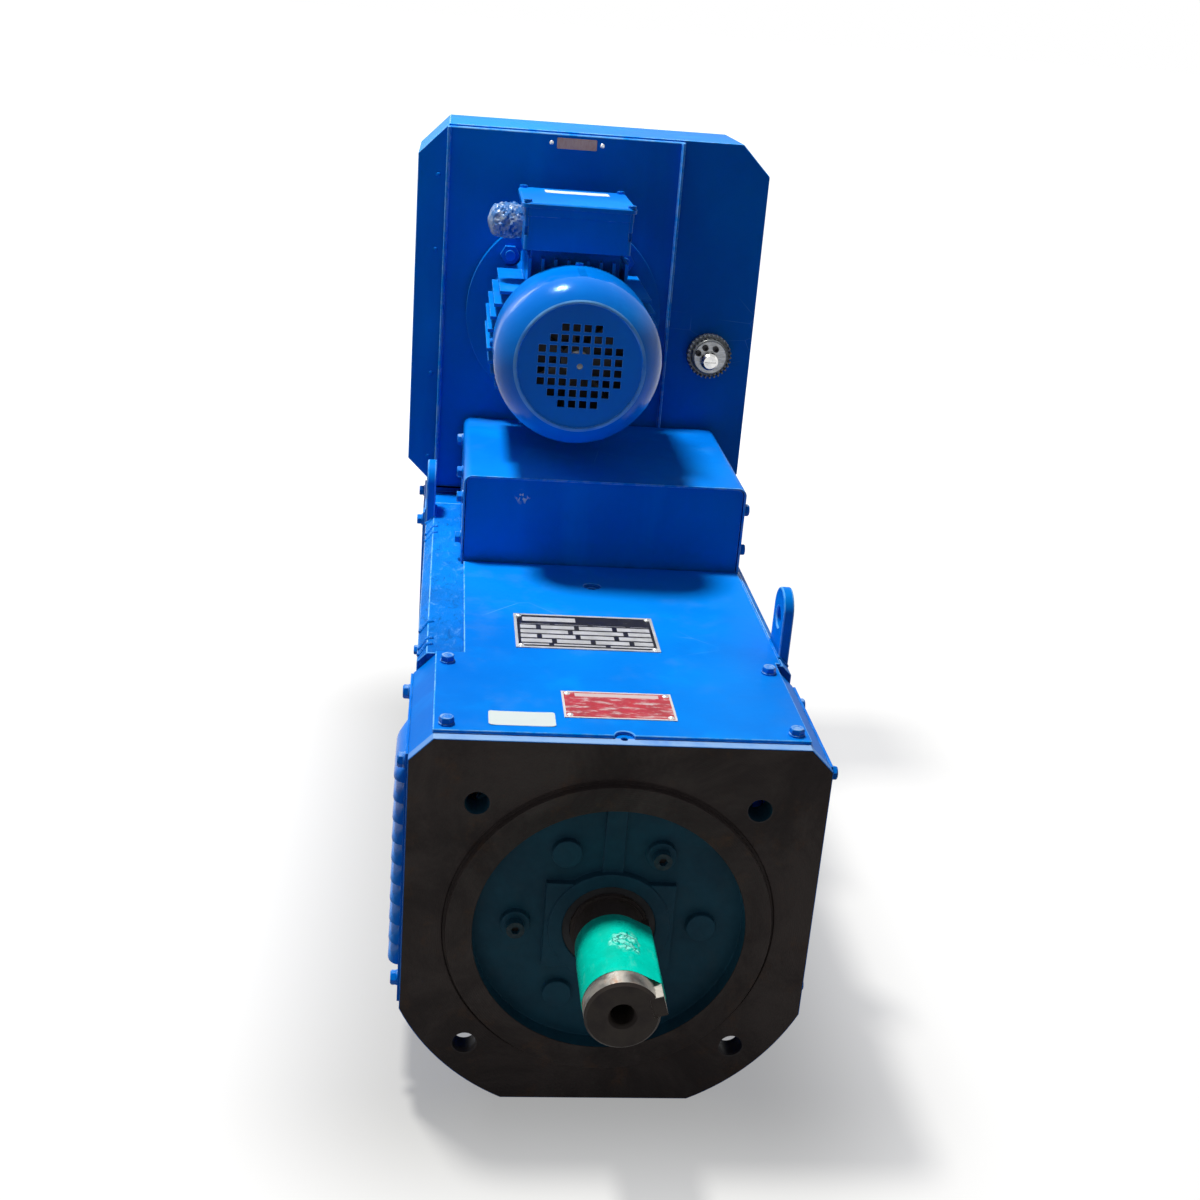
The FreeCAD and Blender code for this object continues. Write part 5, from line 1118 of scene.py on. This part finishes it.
def screw_seats(node, height):
    """Place and facing of each screw in a CAD node: the seat under a head of the given height."""
    end = 0.5 * MM
    bm = merged_copy(node)
    seats = []
    for points in islands(bm):
        low = points.min(0)
        high = points.max(0)
        axis = int(np.argmax(high - low))
        across = points[:, (axis + 1) % 3]
        near = np.ptp(across[points[:, axis] > high[axis] - end])
        far = np.ptp(across[points[:, axis] < low[axis] + end])
        way = Vector((0, 0, 0))
        way[axis] = 1 if near > far else -1
        seat = Vector((low + high) / 2)
        seat[axis] = (high if near > far else low)[axis] - way[axis] * height
        seats.append((seat, way))
    bm.free()
    return sorted(seats, key=lambda row: tuple(round(value, 5) for value in row[0]))


def turned_ring(radius, height, count=24):
    """Ring of points about Z; radius is a number or a function of the angle."""
    ring = []
    for i in range(count):
        angle = FULL_TURN * i / count
        reach = radius(angle) if callable(radius) else radius
        ring.append((reach * math.cos(angle), reach * math.sin(angle), height))
    return ring


def hex_screw_pattern(material):
    """Hex head with a turned crown on a round washer, over its shank."""
    top = HEX_WASHER_T + HEX_HEAD
    sixth = math.pi / 3

    def flats(angle):
        off = (angle + sixth / 2) % sixth - sixth / 2
        return HEX_ACROSS / 2 / math.cos(off)

    def foot(angle):
        return flats(angle) - 0.75 * HEX_FOOT

    def shoulder(angle):
        return min(flats(angle), HEX_CROWN_R + 0.6 * HEX_CROWN)

    profile = ((HEX_SHANK_R, -HEX_SHANK), (HEX_SHANK_R, 0), (HEX_WASHER_R, 0),
               (HEX_WASHER_R, HEX_WASHER_T * 0.75), (HEX_WASHER_R - HEX_WASHER_EDGE, HEX_WASHER_T),
               (foot, HEX_WASHER_T), (flats, HEX_WASHER_T + HEX_FOOT), (flats, top - 2.2 * HEX_CROWN),
               (shoulder, top - HEX_CROWN), (HEX_CROWN_R, top), (HEX_CROWN_R * 0.62, top),
               (HEX_CROWN_R * 0.55, top - HEX_DIMPLE))
    return closed_mesh("hex_screw", lofted([turned_ring(*row) for row in profile]), material, 30)


def rivet_pattern(material):
    """Domed rivet head."""
    profile = [(RIVET_R * 0.6, -RIVET_ROOT)]
    profile += [(RIVET_R * out, RIVET_HEAD * up) for out, up in RIVET_DOME]
    return closed_mesh("rivet", lofted([turned_ring(*row, 16) for row in profile]), material, 60)


def make_screws(made):
    """Hex screws of the covers and of the terminal box lid."""
    paint = made["screw_enamel"]
    pattern = hex_screw_pattern(paint)
    for seed, node in ((11, "cover_screws"), (12, "terminal_box_screws")):
        seats = screw_seats(node, HEX_HEAD + HEX_WASHER_T)
        mesh = set_in_places(node + "_hex", pattern, seats, paint, 1.0, seed)
        add_piece(node + "_hex", mesh, "stator", "blue_enamel", (node,))


def louvre_hood(material):
    """One pressed louvre: a hood rising out of the sheet, rounded at both ends, open at its lower lip."""
    rings = []
    for share in np.sin(np.linspace(-1, 1, 25) * math.pi / 2):
        reach = min(1.0, (1 - abs(share)) * LOUVRE_HALF / LOUVRE_END)
        swell = math.sqrt(max(0.0, 1 - (1 - reach) ** 2))
        outer = []
        inner = []
        for step in np.linspace(0, 1, 10):
            x = LOUVRE_OUT * swell * math.sin(step * math.pi / 2) ** 0.85
            z = LOUVRE_RISE - (LOUVRE_RISE + LOUVRE_DROP) * step
            outer.append((x, share * LOUVRE_HALF, z))
            inner.append((x - LOUVRE_SKIN, share * LOUVRE_HALF, min(z, LOUVRE_RISE - LOUVRE_SKIN)))
        rings.append(outer + inner[::-1])
    return closed_mesh("louvre_hood", lofted(rings), material, 40)


def louvre_sheet(bm, side):
    """Cover sheet with a slot behind every hood."""
    low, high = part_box("louvre_covers")
    lines_y = [low.y, low.y + SLOT_INSET, high.y - SLOT_INSET, high.y]
    lines_z = [low.z]
    for row in reversed(range(LOUVRES)):
        level = LOUVRE_TOP - LOUVRE_PITCH * row
        lines_z += [level - SLOT_BELOW, level + SLOT_ABOVE]
    lines_z.append(high.z)
    back = side * (LOUVRE_FACE - LOUVRE_SHEET)
    grid = [[bm.verts.new((back, y, z)) for z in lines_z] for y in lines_y]
    faces = grid_faces(bm, grid, lambda i, k: i == 1 and k % 2 == 1)
    thickened(bm, faces, X_WAY * side * LOUVRE_SHEET)


def make_louvres(made):
    """Louvred cover on each side of the drive end."""
    paint = made["blue_enamel"]
    bm = bmesh.new()
    for side in (-1, 1):
        louvre_sheet(bm, side)
    sheets = closed_mesh("louvre_sheets", bm, paint, 30)
    add_piece("louvre_sheets", sheets, "stator", "blue_enamel", ("louvre_covers",))
    hood = louvre_hood(paint)
    turned = hood.copy()
    turned.transform(Matrix.Rotation(math.pi, 4, "Z"))
    for name, pattern, side in (("right_louvre_hoods", hood, 1), ("left_louvre_hoods", turned, -1)):
        start = bpy.data.meshes.new(name + "_row")
        first = (side * LOUVRE_FACE, LOUVRE_MIDDLE, LOUVRE_TOP)
        mesh = with_pattern(ROW, name, start, pattern, Finish=paint, Count=LOUVRES, First=first,
                            Step=(0, 0, -LOUVRE_PITCH))
        add_piece(name, mesh, "stator", "blue_enamel")


def make_switch_ribs(made):
    """Grip ribs round the switch body."""
    grey = made["switch_grey"]
    rib = closed_mesh("grip_rib", lofted([turned_ring(*row, 10) for row in RIB_PROFILE]), grey, 50)
    start = bpy.data.meshes.new("switch_ring")
    mesh = with_pattern(RING, "switch_ribs", start, rib, Finish=grey, Count=SWITCH_RIBS,
                        Radius=SWITCH_R - RIB_SUNK, Middle=(SWITCH_X, RIB_MIDDLE_Y, SWITCH_Z))
    add_piece("switch_ribs", mesh, "stator", "switch_grey")


def tape_hull(key_angle):
    """Radius by angle of a band pulled tight over the shaft and its key."""
    pull = np.linspace(0, FULL_TURN, 1440, endpoint=False)
    reach = np.full(pull.shape, TAPE_SHAFT_R)
    corner_r = math.hypot(TAPE_KEY_R, TAPE_KEY_HALF)
    for side in (-1, 1):
        corner = key_angle + side * math.atan2(TAPE_KEY_HALF, TAPE_KEY_R)
        reach = np.maximum(reach, corner_r * np.cos(pull - corner))
    radii = []
    for i in range(TAPE_ROUND):
        lean = np.cos(FULL_TURN * i / TAPE_ROUND - pull)
        front = lean > 0.05
        radii.append(float(np.min(reach[front] / lean[front])))
    return radii


def tape_swell(angle, y):
    """Height of the tape's waves, of its lapped turns and of its crumpled patch."""
    spot = Vector((math.cos(angle), y * 22, math.sin(angle)))
    wave = TAPE_WAVES[0] * noise.noise(spot * 2.2) + TAPE_WAVES[1] * noise.noise(spot * 6.0)
    off = (angle - TAPE_PATCH + math.pi) % FULL_TURN - math.pi
    patch = math.exp(-(off / TAPE_PATCH_WIDE) ** 2 - ((y - TAPE_PATCH_Y) / TAPE_PATCH_LONG) ** 2)
    fold = abs(noise.noise(Vector((angle * 9, y * 420, 3.1)))) + abs(noise.noise(spot * 13.0))
    lap = (angle / FULL_TURN + (y - TAPE_START) / TAPE_LEAD) % 1.0
    return wave + patch * TAPE_CRUMPLE * fold + TAPE_LAP * lap


def make_shaft_tape(made):
    """Protective tape round the shaft and key, with lapped turns, soft waves and one crumpled patch."""
    low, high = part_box("shaft_key")
    key = (low + high) / 2
    hull = tape_hull(math.atan2(key.z, key.x))

    def skins(step, i):
        y = TAPE_START + (TAPE_STOP - TAPE_START) * step / TAPE_ALONG
        angle = FULL_TURN * i / TAPE_ROUND
        lip = min(1.0, min(step, TAPE_ALONG - step) / 3.0)
        raised = TAPE_THICK * lip + tape_swell(angle, y) * (0.3 + 0.7 * lip)
        over = hull[i] + TAPE_OVER + max(TAPE_UNDER, raised)
        under = hull[i] + TAPE_UNDER
        return [(reach * math.cos(angle), y, reach * math.sin(angle)) for reach in (over, under)]

    mesh = sleeve("shaft_tape", TAPE_ALONG, TAPE_ROUND, skins, made["green_tape"], 60)
    add_piece("shaft_tape", mesh, "rotor")


def make_gland_film(made):
    """Crumpled film tied over the cable gland."""
    low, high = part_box("cable_gland")
    centre = (low + high) / 2
    neck = high.x - FILM_SHORT
    tip = low.x - FILM_BEYOND

    def skins(step, i):
        share = step / FILM_ALONG
        angle = FULL_TURN * i / FILM_ROUND
        side = Vector((0, math.cos(angle), math.sin(angle)))
        spot = side * 2.2 + X_WAY * share * 5.0
        belly = FILM_R + FILM_BELLY * math.sin(math.pi * min(1.0, share * 1.15)) ** 0.7
        fold = abs(noise.noise(spot * 1.3)) * FILM_FOLDS[0] + abs(noise.noise(spot * 3.1)) * FILM_FOLDS[1]
        close = max(0.0, (share - FILM_CLOSES) / (1 - FILM_CLOSES)) ** 1.5
        over = (belly + fold * (0.35 + 0.65 * math.sin(math.pi * share))) * (1 - 0.86 * close)
        under = FILM_INSIDE_R * (1 - 0.90 * close)
        at = Vector((neck + (tip - neck) * share, centre.y, centre.z))
        return at + side * over, at + side * under + X_WAY * FILM_TIP_SKIN * close

    mesh = sleeve("gland_film", FILM_ALONG, FILM_ROUND, skins, made["film"], 24)
    add_piece("gland_film", mesh, "stator")


def leaf(name, material, corner, across, along, thick, curl, round_r):
    """Thin sheet lying on a face: across and along are its sides, and it faces along their cross product."""
    width = across.length
    length = along.length
    out = across.cross(along).normalized()

    def pulled(u, v):
        """Point of the grid, drawn in where the corner is rounded."""
        du = max(0.0, round_r - u, u - (width - round_r))
        dv = max(0.0, round_r - v, v - (length - round_r))
        far = math.hypot(du, dv)
        if far > round_r:
            pull = 1 - round_r / far
            u += pull * du * (1 if u < width / 2 else -1)
            v += pull * dv * (1 if v < length / 2 else -1)
        return u, v

    def point(i, k):
        u, v = pulled(i / LEAF_CELLS_ACROSS * width, k / LEAF_CELLS_ALONG * length)
        lift = curl * abs(2 * u / width - 1) ** 6 * abs(2 * v / length - 1) ** 3
        ripple = LEAF_RIPPLE * (1 + noise.noise(Vector((u * 60, v * 60, width * 90))))
        return corner + across * (u / width) + along * (v / length) + out * (lift + ripple)

    bm = bmesh.new()
    grid = [[bm.verts.new(point(i, k)) for k in range(LEAF_CELLS_ALONG + 1)]
            for i in range(LEAF_CELLS_ACROSS + 1)]
    thickened(bm, grid_faces(bm, grid), out * thick)
    return closed_mesh(name, bm, material, 40)


def make_labels(made):
    """Bare paper label on the top cover, bare strip on the blower motor's lid and small plate above it."""
    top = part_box("top_cover")[1].z + GLUE
    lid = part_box("blower_terminal_lid")[1].z + GLUE
    label_at = Vector((-100.0 * MM, 19.5 * MM, top))
    strip_at = Vector((-54.0 * MM, 512.0 * MM, lid))
    plate_at = Vector((-41.0 * MM, PANEL_Y - GLUE, 523.5 * MM))
    # Corner and two sides of each, then its thickness, curl and corner radius
    sheets = (
        ("paper_label", "paper", label_at, X_WAY * 50 * MM, Y_WAY * 24 * MM, mm(0.15, 0.5, 2.5)),
        ("lid_strip", "paper", strip_at, X_WAY * 62 * MM, Y_WAY * 21 * MM, mm(0.15, 0.2, 1.5)),
        ("blower_plate", "small_plate", plate_at, X_WAY * 40 * MM, Z_WAY * 10.5 * MM, mm(0.5, 0.0, 0.8)),
    )
    for name, finish, corner, across, along, shape in sheets:
        add_piece(name, leaf(name, made[finish], corner, across, along, *shape), "stator")


def make_rivets(made):
    """Rivets of the small plate, of the casing's front edge and back, and of the inlet guard's rim."""
    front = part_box("blower_front_plate")[0].y
    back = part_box("blower_back_plate")[1].y
    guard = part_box("air_inlet_guard")[1].y - GUARD_RINGS_OUT
    plate_rivets = [((x, PANEL_Y, PLATE_RIVETS_Z), -Y_WAY) for x in PLATE_RIVETS_X]
    edge_rivets = [((EDGE_RIVETS_X, front, z), -Y_WAY) for z in EDGE_RIVETS_Z]
    edge_rivets += [((x, back, z), Y_WAY) for x in BACK_SIDES_X for z in BACK_SIDES_Z]
    edge_rivets += [((x, back, z), Y_WAY) for x in BACK_ROWS_X for z in BACK_ROWS_Z]
    for quarter in range(4):
        turn = math.pi * (quarter + 0.5) / 2
        x = BLOWER_X + GUARD_RIM_R * math.cos(turn)
        z = BLOWER_Z + GUARD_RIM_R * math.sin(turn)
        edge_rivets.append(((x, guard, z), Y_WAY))
    head = rivet_pattern(made["zinc_sheet"])
    for name, rivets, slot in (("small_plate_rivets", plate_rivets, "zinc_sheet"),
                               ("casing_edge_rivets", edge_rivets, "blue_enamel")):
        mesh = set_in_places(name, head, rivets, made[slot], 0.9, 5)
        add_piece(name, mesh, "stator", slot)


def make_welds(made):
    """Weld beads at the feet of the lifting lugs and short beads on the frame's left corner."""
    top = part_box("stator_frame")[1].z
    runs = []
    for side, y in LUGS:
        inner = side * LUG_INNER
        outer = side * LUG_OUTER
        low = top - LUG_FALL
        runs.append([(outer, y - LUG_HALF, low), (inner, y - LUG_HALF, top), (inner, y + LUG_HALF, top),
                     (outer, y + LUG_HALF, low)])
    for y in CORNER_BEADS_Y:
        runs.append([(x, y + along, top + up) for x, along, up in CORNER_BEAD])
    points = []
    edges = []
    for run in runs:
        edges += [(len(points) + i, len(points) + i + 1) for i in range(len(run) - 1)]
        points += run
    paths = bpy.data.meshes.new("weld_paths")
    paths.from_pydata(points, edges, [])
    mesh = BEAD.grow("weld_beads", paths, Step=BEAD_STEP, Width=BEAD_R, Finish=made["blue_enamel"], Seed=7)
    mesh.shade_smooth()
    add_piece("weld_beads", mesh, "stator", "blue_enamel")


def make_camera():
    level_share = math.cos(CAMERA_PITCH)
    forward = Vector((math.sin(CAMERA_YAW) * level_share, math.cos(CAMERA_YAW) * level_share,
                      -math.sin(CAMERA_PITCH)))
    level = Vector((math.cos(CAMERA_YAW), -math.sin(CAMERA_YAW), 0))
    upright = level.cross(forward)
    right = level * math.cos(CAMERA_ROLL) + upright * math.sin(CAMERA_ROLL)
    up = upright * math.cos(CAMERA_ROLL) - level * math.sin(CAMERA_ROLL)
    lens = bpy.data.cameras.new("photo camera")
    lens.lens = CAMERA_LENS
    lens.sensor_width = CAMERA_SENSOR
    lens.clip_end = CAMERA_SIGHT
    camera = bpy.data.objects.new("photo camera", lens)
    turn = Matrix((right, up, -forward)).transposed().to_4x4()
    camera.matrix_world = Matrix.Translation(CAMERA_PLACE) @ turn
    SCENE.collection.objects.link(camera)
    SCENE.camera = camera


def make_lamp(name, place, width, power, colour):
    lamp = bpy.data.lights.new(name, "AREA")
    lamp.color = colour
    lamp.shape = "DISK"
    lamp.size = width
    lamp.energy = power
    holder = bpy.data.objects.new(name, lamp)
    holder.location = place
    holder.rotation_euler = (LAMP_AIM - Vector(place)).to_track_quat("-Z", "Y").to_euler()
    SCENE.collection.objects.link(holder)


def seen_directly(tree):
    """One for rays that come straight, mirrored or through glass from the camera's side."""
    path = new_node(tree, "ShaderNodeLightPath").outputs
    result = path["Is Camera Ray"]
    for kind in ("Is Glossy Ray", "Is Transmission Ray"):
        result = new_node(tree, "ShaderNodeMath", {0: result, 1: path[kind]}, operation="MAXIMUM").outputs[0]
    return result


def make_world():
    """Faint sky light on the motor behind a white background."""
    world = bpy.data.worlds.new("studio")
    SCENE.world = world
    world.use_nodes = True
    tree = world.node_tree
    light = tree.nodes["Background"]
    light.inputs["Color"].default_value = SKY
    light.inputs["Strength"].default_value = SKY_STRENGTH
    white = new_node(tree, "ShaderNodeBackground", {"Color": WHITE, "Strength": 1.0})
    mix = new_node(tree, "ShaderNodeMixShader", {
        0: seen_directly(tree), 1: light.outputs[0], 2: white.outputs[0]})
    tree.links.new(mix.outputs[0], tree.nodes["World Output"].inputs["Surface"])


def floor_finish():
    """Pale matt floor that keeps the motor's shadow, with a painted contact shadow where its glow drops near
    the motor, and fades to white away from it.
    """
    f = Finish("pale floor")

    def beyond(value, middle, half):
        off = f.calc("ABSOLUTE", f.calc("SUBTRACT", value, middle))
        return f.calc("MAXIMUM", f.calc("SUBTRACT", off, half), 0.0)

    x = beyond(f.axis(0), 0.0, SHADE_HALF_X)
    y = beyond(f.axis(1), SHADE_MIDDLE_Y, SHADE_HALF_Y)
    away = f.calc("SQRT", f.plus(f.times(x, x), f.times(y, y)))
    # Painted contact shadow: the glow is low next to the block under the motor and rises away from it.
    glow = f.plus(f.ramp(away, *GLOW_NEAR), f.ramp(away, *GLOW_FAR))
    matt = f.node("BsdfDiffuse", {"Color": FLOOR_GREY}).outputs[0]
    shine = f.node("Emission", {"Color": WHITE, "Strength": f.times(glow, seen_directly(f.tree))}).outputs[0]
    both = f.node("AddShader", {0: matt, 1: shine}).outputs[0]
    f.tree.nodes.remove(f.shader)
    f.tree.links.new(both, f.tree.nodes["Material Output"].inputs["Surface"])
    return f.material


def make_floor():
    mesh = bpy.data.meshes.new("floor")
    corners = [(x * FLOOR_HALF, y * FLOOR_HALF, cad_low.z) for x, y in ((-1, -1), (1, -1), (1, 1), (-1, 1))]
    mesh.from_pydata(corners, [], [(0, 1, 2, 3)])
    mesh.materials.append(floor_finish())
    floor = bpy.data.objects.new("floor", mesh)
    SCENE.collection.objects.link(floor)


def make_studio():
    make_world()
    make_floor()
    for lamp in LAMPS:
        make_lamp(*lamp)
    SCENE.view_settings.view_transform = "Standard"


PLACES = places_growth()
ROW = row_growth()
RING = ring_growth()
BEAD = bead_growth()

finishes = make_finishes()
dress_nodes(finishes)
make_rounded_castings(finishes)
make_screws(finishes)
make_louvres(finishes)
make_switch_ribs(finishes)
make_shaft_tape(finishes)
make_gland_film(finishes)
make_labels(finishes)
make_rivets(finishes)
make_welds(finishes)
make_studio()
make_camera()
